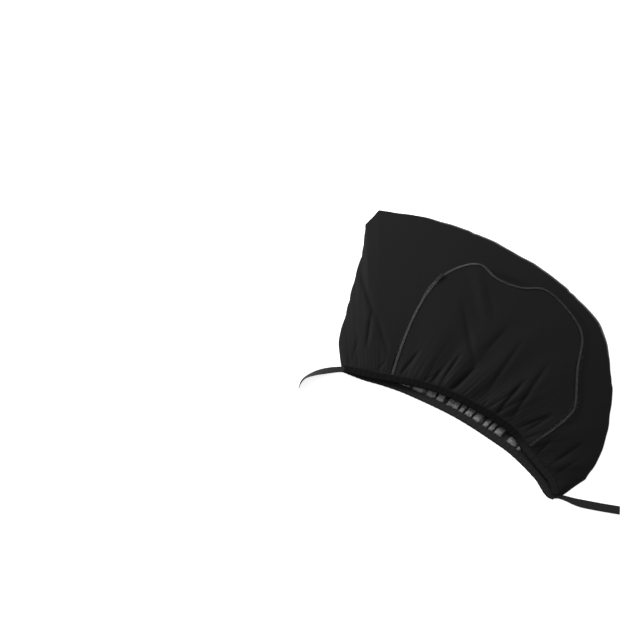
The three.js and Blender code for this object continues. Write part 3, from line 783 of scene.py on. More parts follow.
class Shader:
    """A material under construction, with its Principled shader."""

    def __init__(self, name: str, roughness: float, metallic: float = 0.0, **constants: float) -> None:
        """Starts a material.

        Args:
            name: Name of the material.
            roughness: Roughness where nothing varies it.
            metallic: Metallic value.
            constants: Values of other sockets of the shader, with _ for a blank.
        """
        self.material = bpy.data.materials.new(name)
        self.material.use_nodes = True
        self.nodes = self.material.node_tree.nodes
        self.links = self.material.node_tree.links
        self.surface = self.nodes["Principled BSDF"]
        self.surface.inputs["Roughness"].default_value = roughness
        self.surface.inputs["Metallic"].default_value = metallic
        for key, value in constants.items():
            self.surface.inputs[key.replace("_", " ")].default_value = value

    def add(
        self, kind: str, settings: dict | None = None, *values: object, **named: object
    ) -> bpy.types.Node:
        """Adds a node.

        Args:
            kind: The node's type.
            settings: Properties set before the sockets.
            values: Values or links of the input sockets, in order; None leaves one alone.
            named: Values or links by input name, with _ for a blank.

        Returns:
            The node.
        """
        node = self.nodes.new(kind)
        for key, value in (settings or {}).items():
            setattr(node, key, value)
        by_name = [(node.inputs[key.replace("_", " ")], value) for key, value in named.items()]
        for socket, value in [*zip(node.inputs, values), *by_name]:
            if isinstance(value, Amount):
                value = value.socket
            if isinstance(value, bpy.types.NodeSocket):
                self.links.new(value, socket)
            elif value is not None:
                socket.default_value = value
        return node

    def number(self, kind: str, settings: dict | None, *values: object, **named: object) -> Amount:
        """Adds a node and returns its first output as a number."""
        return Amount(self, self.add(kind, settings, *values, **named).outputs[0])

    def cloth_place(self) -> tuple[Amount, Amount]:
        """Returns the two texture coordinates of a piece, in metres."""
        uv = self.add("ShaderNodeUVMap", {"uv_map": "cloth"}).outputs[0]
        split = self.add("ShaderNodeSeparateXYZ", None, uv)
        return Amount(self, split.outputs[0]), Amount(self, split.outputs[1])

    def stored(self, name: str) -> Amount:
        """Returns a number that is stored on the piece's points."""
        return Amount(self, self.add("ShaderNodeAttribute", {"attribute_name": name}).outputs["Fac"])

    def noise(self, scale: float, detail: float = 2.0, roughness: float = 0.5) -> Amount:
        """Returns noise from 0 to 1 over the object's own place, scale in turns per metre."""
        place = self.add("ShaderNodeTexCoord").outputs["Object"]
        return self.number(
            "ShaderNodeTexNoise", None, Vector=place, Scale=scale, Detail=detail, Roughness=roughness
        )

    def tint(self, dark: Row, light: Row, share: Amount) -> None:
        """Colours the surface between two colours."""
        mix = self.add("ShaderNodeMix", {"data_type": "RGBA"})
        self.links.new(share.socket, mix.inputs[0])
        mix.inputs[6].default_value = (*dark, 1)
        mix.inputs[7].default_value = (*light, 1)
        self.links.new(mix.outputs[2], self.surface.inputs["Base Color"])

    def rough(self, amount: Amount) -> None:
        """Varies the roughness."""
        self.links.new(amount.socket, self.surface.inputs["Roughness"])

    def bump(self, height: Amount, distance: float, strength: float) -> None:
        """Raises the surface by a height from 0 to 1, distance in metres."""
        node = self.add("ShaderNodeBump", None, Height=height, Distance=distance, Strength=strength)
        self.links.new(node.outputs[0], self.surface.inputs["Normal"])


def linear(red: int, green: int, blue: int) -> tuple[float, float, float]:
    """Returns a written colour, 0 to 255 a channel, as linear light."""
    written = (channel / 255 for channel in (red, green, blue))
    return tuple(c / 12.92 if c <= 0.04045 else ((c + 0.055) / 1.055) ** 2.4 for c in written)


@dataclass(frozen=True)
class KnitFinish:
    """Smooth opaque knitted cloth with a soft sheen."""

    dark: tuple[int, int, int] = (7, 6, 7)
    light: tuple[int, int, int] = (23, 22, 23)
    wale: float = 0.9 * MM
    course: float = 0.7 * MM

    def build(self) -> bpy.types.Material:
        """Returns the material."""
        shader = Shader("front cloth", 0.66, Sheen_Weight=0.012, Sheen_Roughness=0.5, Specular_IOR_Level=0.05)
        u, v = shader.cloth_place()
        ribs = u.ribs(self.wale)
        loops = (v * (2 * math.pi / self.course)).sine() * 0.5 + 0.5
        cloud = shader.noise(9, 3)
        fuzz = shader.noise(1400, 2)
        shade = 0.72 + cloud * 0.24 + fuzz * 0.16
        # The stored value darkens the colour as painted shade in folds and beside the zip; cloud and fuzz are
        # random tone.
        shader.tint(linear(*self.dark), linear(*self.light), shader.stored("paleness") * shade)
        shader.rough(0.6 + cloud * 0.14)
        shader.bump(ribs * 0.5 + loops * 0.3 + fuzz * 0.2, 0.12 * MM, 0.35)
        return shader.material


@dataclass(frozen=True)
class NetFinish:
    """Fine see-through mesh: holes between dark yarns, closed where it is bunched, with painted highlights on
    its ruffle crests and rim.
    """

    dark: tuple[int, int, int] = (20, 20, 21)
    light: tuple[int, int, int] = (150, 150, 151)
    cell: float = 1.3 * MM
    cover: float = 0.62

    def build(self) -> bpy.types.Material:
        """Returns the material."""
        shader = Shader("mesh cloth", 0.7, Specular_IOR_Level=0.2)
        u, v = shader.cloth_place()
        across = u.ribs(self.cell)
        along = (v + u * 0.5).ribs(self.cell)
        hole = across.math("MINIMUM", along).within(self.cover - 0.1, self.cover + 0.1)
        cloud = shader.noise(260, 2).within(0.32, 0.68)
        # The stored value makes ruffle crests and the rim pale as painted highlight.
        shader.tint(linear(*self.dark), linear(*self.light), shader.stored("paleness") * (0.4 + 0.6 * cloud))
        alpha = 1 - hole * (1 - shader.stored("bunching"))
        shader.links.new(alpha.socket, shader.surface.inputs["Alpha"])
        shader.bump(across * along, 0.2 * MM, 0.5)
        return shader.material


@dataclass(frozen=True)
class BandFinish:
    """Ribbed stretch band of a hem, with painted shade: dark up to a place along it and along its mouth edge.
    """

    name: str
    dark: tuple[int, int, int] = (20, 20, 20)
    light: tuple[int, int, int] = (46, 46, 46)
    lit_from: float = 0.0
    lit_to: float = 0.001
    edge_from: float = 0.0165
    edge_to: float = 0.0185
    edge_shade: float = 0.85
    rib: float = 1.6 * MM
    pick: float = 1.1 * MM

    def build(self) -> bpy.types.Material:
        """Returns the material."""
        shader = Shader(self.name, 0.72, Sheen_Weight=0.008, Specular_IOR_Level=0.04)
        u, v = shader.cloth_place()
        ribs = v.ribs(self.rib)
        picks = u.ribs(self.pick)
        cloud = shader.noise(60, 3)
        edge = v.within(self.edge_from, self.edge_to)
        # Painted shade: the band is painted dark up to a place along it and along its mouth edge.
        pale = u.within(self.lit_from, self.lit_to) * (1 - self.edge_shade * edge)
        weave = 0.55 + ribs * 0.2 + picks * 0.1 + cloud * 0.3
        shader.tint(linear(*self.dark), linear(*self.light), pale * weave)
        shader.rough(0.62 + cloud * 0.2)
        shader.bump(ribs * 0.6 + picks * 0.4, 0.3 * MM, 0.6)
        return shader.material


# The front band is painted dark as painted shade for its first 0.43 to 0.47 m; the rear band only for its
# first 20 mm.
FRONT_BAND = BandFinish("front hem band", (8, 8, 8), (31, 31, 31), 0.43, 0.47)
REAR_BAND = BandFinish("rear hem band", (10, 10, 10), (40, 40, 40), 0.0, 0.02)


@dataclass(frozen=True)
class TapeFinish:
    """Woven zip tape."""

    dark: tuple[int, int, int] = (14, 14, 15)
    light: tuple[int, int, int] = (27, 27, 28)
    rib: float = 0.7 * MM

    def build(self) -> bpy.types.Material:
        """Returns the material."""
        shader = Shader("zip tape", 0.66, Specular_IOR_Level=0.05)
        u, v = shader.cloth_place()
        slant = (u + v).ribs(self.rib)
        rows = v.ribs(self.rib)
        shader.tint(linear(*self.dark), linear(*self.light), slant * 0.6 + shader.noise(90) * 0.4)
        shader.bump(slant * 0.5 + rows * 0.5, 0.15 * MM, 0.6)
        return shader.material


@dataclass(frozen=True)
class WebbingFinish:
    """Hook and loop webbing with ribs along it."""

    dark: tuple[int, int, int] = (20, 19, 19)
    light: tuple[int, int, int] = (38, 37, 37)
    rib: float = 3.3 * MM
    hook: float = 1.3 * MM

    def build(self) -> bpy.types.Material:
        """Returns the material."""
        shader = Shader("strap webbing", 0.72, Sheen_Weight=0.03, Specular_IOR_Level=0.12)
        u, v = shader.cloth_place()
        ribs = v.ribs(self.rib)
        hooks = u.ribs(self.hook)
        fuzz = shader.noise(900, 3)
        shader.tint(linear(*self.dark), linear(*self.light), ribs * 0.4 + hooks * 0.2 + fuzz * 0.4)
        shader.rough(0.6 + fuzz * 0.25)
        shader.bump(ribs * 0.4 + hooks * 0.3 + fuzz * 0.3, 0.4 * MM, 0.7)
        return shader.material


@dataclass(frozen=True)
class SolidFinish:
    """A plain finish with fine grain: nylon, paint, thread or elastic."""

    name: str
    dark: tuple[int, int, int]
    light: tuple[int, int, int]
    roughness: float
    metallic: float = 0.0
    grain: float = 500
    depth: float = 0.03 * MM
    shine: float = 0.5

    def build(self) -> bpy.types.Material:
        """Returns the material."""
        shader = Shader(self.name, self.roughness, self.metallic, Specular_IOR_Level=self.shine)
        grain = shader.noise(self.grain, 3)
        shader.tint(linear(*self.dark), linear(*self.light), grain)
        shader.rough(self.roughness - 0.08 + grain * 0.16)
        shader.bump(grain, self.depth, 0.4)
        return shader.material


@dataclass(frozen=True)
class NylonFinish:
    """Nylon coil, with a painted highlight that makes the zip's left leg paler."""

    dark: tuple[int, int, int] = (42, 42, 43)
    light: tuple[int, int, int] = (92, 92, 94)
    pale_at: float = -0.17
    dark_at: float = 0.03

    def build(self) -> bpy.types.Material:
        """Returns the material."""
        shader = Shader("zip coil nylon", 0.45, Specular_IOR_Level=0.3)
        place = shader.add("ShaderNodeTexCoord").outputs["Object"]
        across = Amount(shader, shader.add("ShaderNodeSeparateXYZ", None, place).outputs[0])
        # Painted highlight: the coil is painted paler towards the left, on the zip's left leg.
        painted_highlight = 1 - across.within(self.pale_at, self.dark_at)
        grain = shader.noise(60, 3)
        shader.tint(linear(*self.dark), linear(*self.light), painted_highlight * 0.8 + grain * 0.3)
        shader.rough(0.38 + grain * 0.16)
        return shader.material


PAINT = SolidFinish("slider paint", (24, 24, 25), (34, 34, 36), 0.32, 0.5, 900, 0.02 * MM)
THREAD = SolidFinish("sewing thread", (15, 14, 15), (26, 25, 26), 0.6, 0.0, 1500, shine=0.12)
ELASTIC = SolidFinish("flat elastic", (24, 24, 24), (34, 34, 34), 0.7, 0.0, 700, shine=0.1)


@dataclass
class Palette:
    """The finishes of the whole shade, built once."""

    cloth: bpy.types.Material = field(default_factory=lambda: KnitFinish().build())
    net: bpy.types.Material = field(default_factory=lambda: NetFinish().build())
    front_band: bpy.types.Material = field(default_factory=FRONT_BAND.build)
    rear_band: bpy.types.Material = field(default_factory=REAR_BAND.build)
    tape: bpy.types.Material = field(default_factory=lambda: TapeFinish().build())
    webbing: bpy.types.Material = field(default_factory=lambda: WebbingFinish().build())
    nylon: bpy.types.Material = field(default_factory=lambda: NylonFinish().build())
    paint: bpy.types.Material = field(default_factory=PAINT.build)
    thread: bpy.types.Material = field(default_factory=THREAD.build)
    elastic: bpy.types.Material = field(default_factory=ELASTIC.build)


def dress(piece: bpy.types.Object, material: bpy.types.Material, slot: str, *nodes: str) -> None:
    """Gives a piece its finish, lets it ride on the shade and lets it stand for CAD nodes.

    Args:
        piece: The piece.
        material: Its finish.
        slot: The record's material slot; not used.
        nodes: CAD nodes that the piece replaces.
    """
    piece.data.materials.clear()
    piece.data.materials.append(material)
    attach(piece, SHADE_BODY)
    if nodes:
        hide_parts(*nodes)
    LOG.info("%s: %d faces", piece.name, len(piece.data.polygons))


# Cloth layers


@dataclass(frozen=True)
class Fan:
    """Straight columns of cloth that spread from a hem to an edge."""

    form: ShadeForm
    hem: PlanPath
    edge: Callable[[Array], Array]

    def ends(self, along: Array, place: Array | None = None) -> tuple[Array, Array]:
        """Returns the foot and head of the columns at shares of the hem."""
        place = along ** (1 / self.form.fan_exponent) if place is None else place
        reach = 0.5 * self.form.casing_width + self.form.clearance
        return self.hem.offset(along, reach * np.ones(len(along))), self.edge(place)

    def grid(self, columns: int, rows: int) -> tuple[Array, Array, Array, Array]:
        """Lays points over the fan.

        Args:
            columns: Columns along the hem, closer together at its left end.
            rows: Points on each column, closer together at the hem.

        Returns:
            Share along, share across, distance from the hem and the plan points, one row each.
        """
        along = np.linspace(0, 1, columns) ** 1.35
        place = along ** (1 / self.form.fan_exponent)
        for corner in self.form.seam.corners:
            place[np.argmin(np.abs(place - corner))] = corner
        foot, head = self.ends(along, place)
        across = np.linspace(0, 1, rows) ** 1.3
        spots = foot[:, None] + across[None, :, None] * (head - foot)[:, None]
        length = np.linalg.norm(head - foot, axis=1)
        along, across = np.broadcast_arrays(along[:, None], across[None, :])
        return along.ravel(), across.ravel(), (across * length[:, None]).ravel(), spots.reshape(-1, 2)

    def find(self, spots: Array) -> tuple[Array, Array, Array]:
        """Returns share along, share across and distance from the hem of plan points."""
        low, high = np.zeros(len(spots)), np.ones(len(spots))
        for _ in range(30):
            middle = 0.5 * (low + high)
            foot, head = self.ends(middle)
            run, way = head - foot, spots - foot
            before = run[:, 0] * way[:, 1] - run[:, 1] * way[:, 0] < 0
            low, high = np.where(before, middle, low), np.where(before, high, middle)
        foot, head = self.ends(low)
        run = head - foot
        across = np.clip(np.sum(run * (spots - foot), axis=1) / np.sum(run * run, axis=1), 0, 1)
        return low, across, across * np.linalg.norm(run, axis=1)


@dataclass
class FrontLayer:
    """The dark front layer: the surround of the zip arch and the flap inside it."""

    form: ShadeForm = FORM
    columns: int = 560
    rows: int = 110
    zip_edge: float = 6.3
    fold_shade: float = 0.75
    zip_shade: float = 0.45
    zip_shade_place: tuple[float, float] = (11, 8)
    zip_shade_from: tuple[float, float] = (250, 380)
    surround_flat: tuple[float, float, float] = (0.83, 0.56, 0.165)
    flap_flat: tuple[float, float, float] = (0.50, 0.45, 0.15)

    @cached_property
    def fan(self) -> Fan:
        """Returns the layer's columns."""
        return Fan(self.form, self.form.front_hem, self.form.seam.at)

    def height_at(self, spots: Array) -> Array:
        """Returns the height of the layer's middle at plan points."""
        return self.form.front_height(*self.fan.find(spots), spots)

    def arch_distance(self, spots: Array) -> Array:
        """Returns the distance to the zip's centre line, positive outside the arch."""
        line = self.form.zip_line
        first, last = line.points[0] - 60 * line.tangent(0.0), line.points[-1] + 60 * line.tangent(1.0)
        arch = np.vstack([first, line.points[::4], line.points[-1:], last])
        return distance_to_line(spots, arch) * np.where(inside(spots, arch), -1, 1)

    def wrinkles(self, along: Array, across: Array, distance: Array) -> Array:
        """Returns fine wrinkles that run up from the hem."""
        fine = np.sin(2 * np.pi * (61 * along + 1.1 * np.sin(9 * along + 4 * across)))
        finer = np.sin(2 * np.pi * (113 * along + 1.7 * np.sin(13 * along - 3 * across)))
        fade = (1 - np.exp(-distance / 6)) * np.exp(-distance / 70) * swell(along, 0.5)
        return (0.3 * fine + 0.14 * finer) * fade

    def panel(self, patch: Patch, name: str) -> bpy.types.Object:
        """Makes a panel of the layer, with painted shade in its folds and outside the zip's right leg."""
        spots = patch.points[:, :2]
        place, spread = self.zip_shade_place
        beside_zip = np.exp(-(((self.arch_distance(spots) - place) / spread) ** 2))
        beside_zip = beside_zip * smoothstep(spots[:, 0], *self.zip_shade_from)
        # Painted shade: the stored value darkens the cloth's colour in the folds and beside the zip's right
        # leg.
        paleness = (1 - self.fold_shade * self.form.hollow(spots)) * (1 - self.zip_shade * beside_zip)
        return patch.solid(name, self.form.front_thickness, paleness=paleness)

    def build(self, palette: Palette) -> list[bpy.types.Object]:
        """Builds and dresses both panels.

        Args:
            palette: The finishes.

        Returns:
            The surround and the flap.
        """
        along, across, distance, spots = self.fan.grid(self.columns, self.rows)
        height = self.form.front_height(along, across, distance, spots)
        height = height + self.wrinkles(along, across, distance)
        patch = Patch(np.column_stack([spots, height]), grid_faces(self.columns, self.rows), spots * MM)
        signed = self.arch_distance(spots)
        surround = self.panel(patch.clipped(signed - self.zip_edge), "front_surround_cloth")
        flap = self.panel(patch.clipped(-signed - self.zip_edge), "front_flap_cloth")
        dress(surround, palette.cloth, "front_cloth", "front_surround_panel")
        dress(flap, palette.cloth, "front_cloth", "front_flap_panel")
        return [surround, flap]


@dataclass
class MeshLayer:
    """The see-through layer under the front one."""

    form: ShadeForm = FORM
    columns: int = 430
    rows: int = 70
    rim_paleness: float = 0.6
    bunched: tuple[float, float] = (60, 90)
    flat: tuple[float, float, float] = (0.83, 0.56, 0.34)

    def build(self, palette: Palette) -> bpy.types.Object:
        """Builds and dresses the layer.

        Args:
            palette: The finishes.

        Returns:
            The layer.
        """
        fan = Fan(self.form, self.form.rear_hem, self.form.mesh_edge)
        along, across, distance, spots = fan.grid(self.columns, self.rows)
        beside = self.form.rear_hem.nearest(spots)
        height = self.form.rear_height(beside, across, distance)
        patch = Patch(np.column_stack([spots, height]), grid_faces(self.columns, self.rows), spots * MM)
        crest = smoothstep(self.form.ruffle(beside, across, distance), 0.12, 0.3)
        rim = smoothstep(across, 0.975, 0.992)
        layer = patch.solid(
            "rear_mesh_cloth",
            self.form.mesh_thickness,
            # Painted light: ruffle crests are painted pale, paler towards the hem's left end, and the rim is
            # painted pale.
            paleness=np.maximum(crest * (1.2 - 0.65 * beside), self.rim_paleness * rim),
            bunching=np.maximum(1 - smoothstep(distance, *self.bunched), rim),
        )
        dress(layer, palette.net, "mesh_cloth", "rear_mesh_panel")
        return layer


@dataclass
class HemBand:
    """A puckered sleeve of ribbed band that holds a hem's elastic."""

    name: str
    node: str
    path: PlanPath
    height: Callable[[Array], Array]
    form: ShadeForm = FORM
    stations: int = 560
    around: int = 28
    bore: tuple[float, float] = (7.4, 0.9)
    pucker: float = 0.15
    pucker_count: float = 46
    flat: tuple[float, float] = (0.60, 0.042)

    def ring(self, half_width: Array, half_height: Array, power: float) -> Array:
        """Returns oval rings in the band's own plane, one row for each station."""
        turn = 2 * np.pi * np.arange(self.around) / self.around
        across = np.sign(np.cos(turn)) * np.abs(np.cos(turn)) ** power
        up = np.sign(np.sin(turn)) * np.abs(np.sin(turn)) ** power
        return np.stack([half_width[:, None] * across, half_height[:, None] * up], axis=-1)

    def placed(self, ring: Array, share: Array) -> Array:
        """Returns rings placed along the hem."""
        tangent = self.path.tangent(share)
        normal = np.stack([-tangent[:, 1], tangent[:, 0]], axis=1)
        plan = self.path.at(share)[:, None] + ring[..., :1] * normal[:, None]
        up = self.height(share)[:, None, None] + ring[..., 1:]
        return np.concatenate([plan, up], axis=-1)

    def build(self, finish: bpy.types.Material) -> bpy.types.Object:
        """Builds and dresses the band.

        Args:
            finish: The band's finish.

        Returns:
            The band.
        """
        share = np.linspace(0, 1, self.stations)
        turn = 2 * np.pi * (self.pucker_count * share + 0.5 * np.sin(2 * np.pi * 3 * share))
        one = np.ones(self.stations)
        tall = 0.5 * self.form.casing_thickness + self.pucker * np.sin(turn)
        wide = 0.5 * self.form.casing_width - 0.25 + 0.25 * np.sin(turn + 1)
        outer = self.ring(wide, np.minimum(tall, 0.5 * self.form.casing_thickness + self.pucker), 0.45)
        rest = 0.5 * self.form.casing_thickness
        flattened = outer[..., 1] * rest / np.maximum(tall, rest)[:, None]
        outer[..., 1] = np.where(outer[..., 1] < 0, flattened, outer[..., 1])
        inner = self.ring(self.bore[0] * one, self.bore[1] * one, 0.25)
        band = swept(self.name, self.placed(outer, share), self.placed(inner, share))
        dress(band, finish, "hem_band", self.node)
        return band


@dataclass
class Zip:
    """The zip: two tapes, two coils and the finish of its slider and pull tab."""

    front: FrontLayer
    form: ShadeForm = FORM
    step: float = 2.0
    parting: tuple[float, float] = (95, 60)
    rounding: float = 0.25
    coil_turn: Run = Run(RunShape.COIL_TURN, 1.6, 1.0, 2.4, 1.6, 0.34)

    def stations(self) -> Array:
        """Returns the shares of the zip line at which the tapes are built."""
        return np.linspace(0, 1, int(self.form.zip_line.length / self.step))

    def gap(self, share: Array) -> Array:
        """Returns half the space between the coils: they part only beside the slider."""
        place = share * self.form.zip_line.length
        parted = smoothstep(place, *(self.form.slider_place - reach for reach in self.parting))
        parted = np.where(place > self.form.slider_place, 0, parted)
        return 0.5 * (self.form.clearance + (self.form.open_gap - self.form.clearance) * parted)

    def hem_distance(self, spots: Array) -> Array:
        """Returns the distance to the edge of the front hem's band."""
        reach = 0.5 * self.form.casing_width + self.form.clearance
        return distance_to_line(spots, self.form.front_hem.points[::3]) - reach

    def tape(self, side: Side, palette: Palette) -> bpy.types.Object:
        """Builds and dresses one tape.

        Args:
            side: Side of the zip's centre line.
            palette: The finishes.

        Returns:
            The tape.
        """
        line, share = self.form.zip_line, self.stations()
        rows = np.linspace(0, 1, 5)
        near, far = self.gap(share) + 0.8, np.full(len(share), self.form.tape_half_width)
        reach = side.value * (near[:, None] + rows[None, :] * (far - near)[:, None])
        reach = np.sort(reach, axis=1)
        tangent = line.tangent(share)
        normal = np.stack([-tangent[:, 1], tangent[:, 0]], axis=1)
        spots = line.at(share)[:, None] + reach[..., None] * normal[:, None]
        sink = 0.5 * (self.form.front_thickness - self.form.tape_thickness)
        base = self.front.height_at(line.at(share)) - sink
        height = np.broadcast_to(base[:, None, None], (*reach.shape, 1))
        points = np.concatenate([spots, height], axis=-1).reshape(-1, 3)
        along = np.broadcast_to(share[:, None] * line.length, reach.shape)
        uv = np.stack([along, reach], axis=-1).reshape(-1, 2) * MM
        patch = Patch(points, grid_faces(len(share), len(rows)), uv)
        piece = patch.clipped(self.hem_distance(points[:, :2])).solid(
            f"zip_tape_{side.name.lower()}_woven", self.form.tape_thickness
        )
        dress(piece, palette.tape, "zip_tape", f"zip_tape_{side.name.lower()}")
        return piece

    def coil(self, side: Side, palette: Palette) -> bpy.types.Object:
        """Builds and dresses one coil.

        Args:
            side: Side of the zip's centre line.
            palette: The finishes.

        Returns:
            The coil.
        """
        line, share = self.form.zip_line, self.stations()
        spots = line.offset(share, side.value * (self.gap(share) + 0.5 * self.form.coil_width))
        rise = -0.5 * self.form.front_thickness + self.form.tape_thickness + self.form.clearance
        height = self.front.height_at(line.at(share)) + rise + 0.5 * self.form.coil_height
        keep = self.hem_distance(spots) > 1.0
        piece = self.coil_turn.along(
            f"zip_coil_{side.name.lower()}_turns", np.column_stack([spots, height])[keep], palette.nylon
        )
        dress(piece, palette.nylon, "zip_coil", f"zip_coil_{side.name.lower()}")
        return piece

    def build(self, palette: Palette) -> list[bpy.types.Object]:
        """Builds and dresses the zip.

        Args:
            palette: The finishes.

        Returns:
            The tapes and the coils.
        """
        pieces = [make(side, palette) for side in Side for make in (self.tape, self.coil)]
        for name in ("zip_slider", "zip_pull_tab"):
            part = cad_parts[name]
            part.data.materials.clear()
            part.data.materials.append(palette.paint)
            edge = part.modifiers.new("rounded edges", "BEVEL")
            edge.width, edge.segments, edge.limit_method = self.rounding * MM, 2, "ANGLE"
        return pieces


@dataclass
class Strap:
    """A webbing strap that leaves a corner of the mouth, folded double at its root."""

    name: str
    node: str
    spots: Sequence[Row]
    twist: float = 0
    width: float = 20
    thickness: float = 1.6
    root: float = 0.5
    folded: float = 0.1
    opened: float = 0.5
    stations: int = 150
    across: int = 15
    edge_thinning: float = 0.45
    edge_power: float = 12
    flat: tuple[float, float] = (0.14, 0.02)

    def build(self, palette: Palette) -> bpy.types.Object:
        """Builds and dresses the strap.

        Args:
            palette: The finishes.

        Returns:
            The strap.
        """
        path = PlanPath(self.spots)
        share = np.linspace(0, 1, self.stations)
        opened = smoothstep(share, self.folded, self.opened)
        width = self.width * (self.root + (1 - self.root) * opened)
        thickness = self.thickness * (2 - opened)
        turn = math.radians(self.twist) * share**2
        tangent = path.tangent(share)
        normal = np.stack([-tangent[:, 1], tangent[:, 0]], axis=1)
        middle = 0.5 * (width * np.sin(turn) + thickness * np.cos(turn))
        side = np.concatenate([np.linspace(-1, 1, self.across), np.linspace(1, -1, self.across)])
        thinning = self.edge_thinning * np.abs(side) ** self.edge_power
        face = np.repeat([-1.0, 1.0], self.across) * (1 - thinning)
        a, b = 0.5 * width[:, None] * side, 0.5 * thickness[:, None] * face
        out = a * np.cos(turn)[:, None] - b * np.sin(turn)[:, None]
        up = a * np.sin(turn)[:, None] + b * np.cos(turn)[:, None]
        plan = path.at(share)[:, None] + out[..., None] * normal[:, None]
        rings = np.concatenate([plan, (middle[:, None] + up)[..., None]], axis=-1)
        piece = swept(self.name, rings)
        dress(piece, palette.webbing, "strap_webbing", self.node)
        return piece


@dataclass
class Stitching:
    """Rows of thread along the seam, the hems and the zip."""

    front: FrontLayer
    form: ShadeForm = FORM
    seam_inset: float = 4.0
    zip_distance: float = 8.2
    hem_distance: float = 10.5
    stitch: Run = Run(RunShape.STITCH, 3.0, 2.3, 0.55, 0.4, 0.0)

    def on_front(self, name: str, spots: Array, palette: Palette) -> bpy.types.Object:
        """Sews a row over the front layer.

        Args:
            name: Name of the row.
            spots: Plan points of the row.
            palette: The finishes.

        Returns:
            The row.
        """
        height = self.front.height_at(spots) + 0.5 * self.form.front_thickness + 0.05
        row = self.stitch.along(name, np.column_stack([spots, height]), palette.thread)
        dress(row, palette.thread, "front_cloth")
        return row

    def build(self, palette: Palette) -> list[bpy.types.Object]:
        """Sews the seam and both sides of the zip.

        Args:
            palette: The finishes.

        Returns:
            The rows.
        """
        share = np.linspace(0.004, 0.996, 900)
        seam = self.form.seam.offset(share, np.full(len(share), -self.seam_inset))
        rows = [self.on_front("seam_stitches", seam, palette)]
        share = np.linspace(0, 1, 600)
        for side in Side:
            spots = self.form.zip_line.offset(share, np.full(len(share), side.value * self.zip_distance))
            clear = distance_to_line(spots, self.form.front_hem.points[::3]) > self.hem_distance
            rows.append(self.on_front(f"zip_stitches_{side.name.lower()}", spots[clear], palette))
        return rows


# Studio


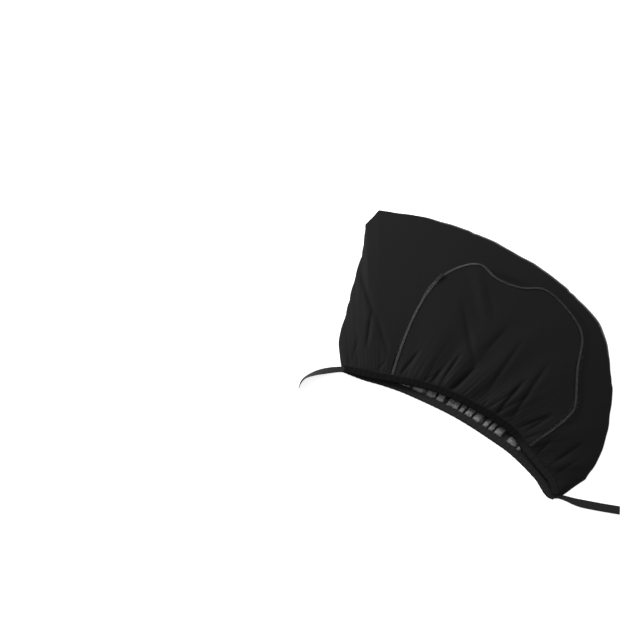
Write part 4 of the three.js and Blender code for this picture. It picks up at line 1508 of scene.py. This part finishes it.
@dataclass
class Studio:
    """A white floor, soft lamps and the camera."""

    eye: tuple[float, float, float] = (0.5648, -1.4090, 2.0924)
    target: tuple[float, float, float] = (-0.3677, -0.1377, 0.0)
    lens: float = 60.75
    floor_size: float = 14.0
    floor_gap: float = 0.4 * MM
    floor_colour: float = 0.8
    floor_glow: float = 0.74
    sky: float = 0.28
    lamps: tuple[tuple[tuple[float, float, float], float, float], ...] = (
        ((-2.0, 0.35, 1.15), 1.1, 66.0),
        ((1.4, -1.6, 2.3), 2.4, 14.0),
    )

    def seen(self, tree: bpy.types.NodeTree) -> bpy.types.NodeSocket:
        """Returns 1 for the rays that show the background and 0 for those that light the shade."""
        path = tree.nodes.new("ShaderNodeLightPath")
        seen = path.outputs["Is Camera Ray"]
        for ray in ("Is Glossy Ray", "Is Transmission Ray"):
            most = tree.nodes.new("ShaderNodeMath")
            most.operation = "MAXIMUM"
            tree.links.new(seen, most.inputs[0])
            tree.links.new(path.outputs[ray], most.inputs[1])
            seen = most.outputs[0]
        return seen

    def floor(self) -> bpy.types.Object:
        """Builds the pale floor under the shade."""
        half = 0.5 * self.floor_size
        mesh = bpy.data.meshes.new("floor")
        corners = [(-half, -half, 0), (half, -half, 0), (half, half, 0), (-half, half, 0)]
        mesh.from_pydata(corners, [], [(0, 1, 2, 3)])
        piece = bpy.data.objects.new("floor", mesh)
        bpy.context.scene.collection.objects.link(piece)
        piece.location.z = -self.floor_gap
        material = bpy.data.materials.new("floor paper")
        material.use_nodes = True
        surface = material.node_tree.nodes["Principled BSDF"]
        surface.inputs["Base Color"].default_value = (*[self.floor_colour] * 3, 1)
        surface.inputs["Roughness"].default_value = 0.9
        surface.inputs["Specular IOR Level"].default_value = 0.0
        tree = material.node_tree
        glow = tree.nodes.new("ShaderNodeEmission")
        share = tree.nodes.new("ShaderNodeMath")
        share.operation = "MULTIPLY"
        share.inputs[1].default_value = self.floor_glow
        both = tree.nodes.new("ShaderNodeAddShader")
        tree.links.new(self.seen(tree), share.inputs[0])
        tree.links.new(share.outputs[0], glow.inputs["Strength"])
        tree.links.new(surface.outputs[0], both.inputs[0])
        tree.links.new(glow.outputs[0], both.inputs[1])
        tree.links.new(both.outputs[0], tree.nodes["Material Output"].inputs[0])
        mesh.materials.append(material)
        return piece

    def world(self) -> None:
        """Builds the world: soft light on the shade, white to the camera."""
        world = bpy.data.worlds.new("studio")
        bpy.context.scene.world = world
        world.use_nodes = True
        tree = world.node_tree
        soft = tree.nodes["Background"]
        soft.inputs[0].default_value = (1, 1, 1, 1)
        soft.inputs[1].default_value = self.sky
        white = tree.nodes.new("ShaderNodeBackground")
        white.inputs[0].default_value = (1, 1, 1, 1)
        mix = tree.nodes.new("ShaderNodeMixShader")
        tree.links.new(self.seen(tree), mix.inputs[0])
        tree.links.new(soft.outputs[0], mix.inputs[1])
        tree.links.new(white.outputs[0], mix.inputs[2])
        tree.links.new(mix.outputs[0], tree.nodes["World Output"].inputs[0])

    def lamp(self, name: str, place: Row, size: float, power: float) -> None:
        """Hangs one soft lamp that faces the shade."""
        light = bpy.data.lights.new(name, "AREA")
        light.shape, light.size, light.energy = "SQUARE", size, power
        lamp = bpy.data.objects.new(name, light)
        lamp.location = place
        lamp.rotation_euler = (-Vector(place)).to_track_quat("-Z", "Y").to_euler()
        bpy.context.scene.collection.objects.link(lamp)

    def camera(self) -> None:
        """Sets the camera to the photograph's viewing angle."""
        data = bpy.data.cameras.new("camera")
        data.lens, data.sensor_width = self.lens, 36.0
        camera = bpy.data.objects.new("camera", data)
        camera.location = self.eye
        camera.rotation_euler = (Vector(self.target) - Vector(self.eye)).to_track_quat("-Z", "Y").to_euler()
        bpy.context.scene.collection.objects.link(camera)
        bpy.context.scene.camera = camera

    def build(self) -> None:
        """Builds the studio."""
        self.camera()
        self.floor()
        self.world()
        for number, (place, size, power) in enumerate(self.lamps, 1):
            self.lamp(f"lamp {number}", place, size, power)
        bpy.context.scene.view_settings.view_transform = "Standard"


def main() -> None:
    """Dresses the shade and lights it."""
    logging.basicConfig(level=logging.INFO, format="%(name)s: %(message)s")
    Studio().build()
    palette = Palette()
    front = FrontLayer()
    MeshLayer().build(palette)
    front.build(palette)
    for side, path, height, finish in (
        ("front", FORM.front_hem, FORM.front_hem_height, palette.front_band),
        ("rear", FORM.rear_hem, FORM.rear_hem_height, palette.rear_band),
    ):
        HemBand(f"{side}_hem_band", f"{side}_hem_casing", path, height).build(finish)
    for name in ("front_hem_elastic", "rear_hem_elastic"):
        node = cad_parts[name]
        node.data.materials.clear()
        node.data.materials.append(palette.elastic)
    Zip(front).build(palette)
    Strap("strap_left_webbing", "strap_left", FORM.left_strap, twist=80, root=0.75).build(palette)
    Strap("strap_right_webbing", "strap_right", FORM.right_strap).build(palette)
    Stitching(front).build(palette)


if __name__ == "__main__":
    main()
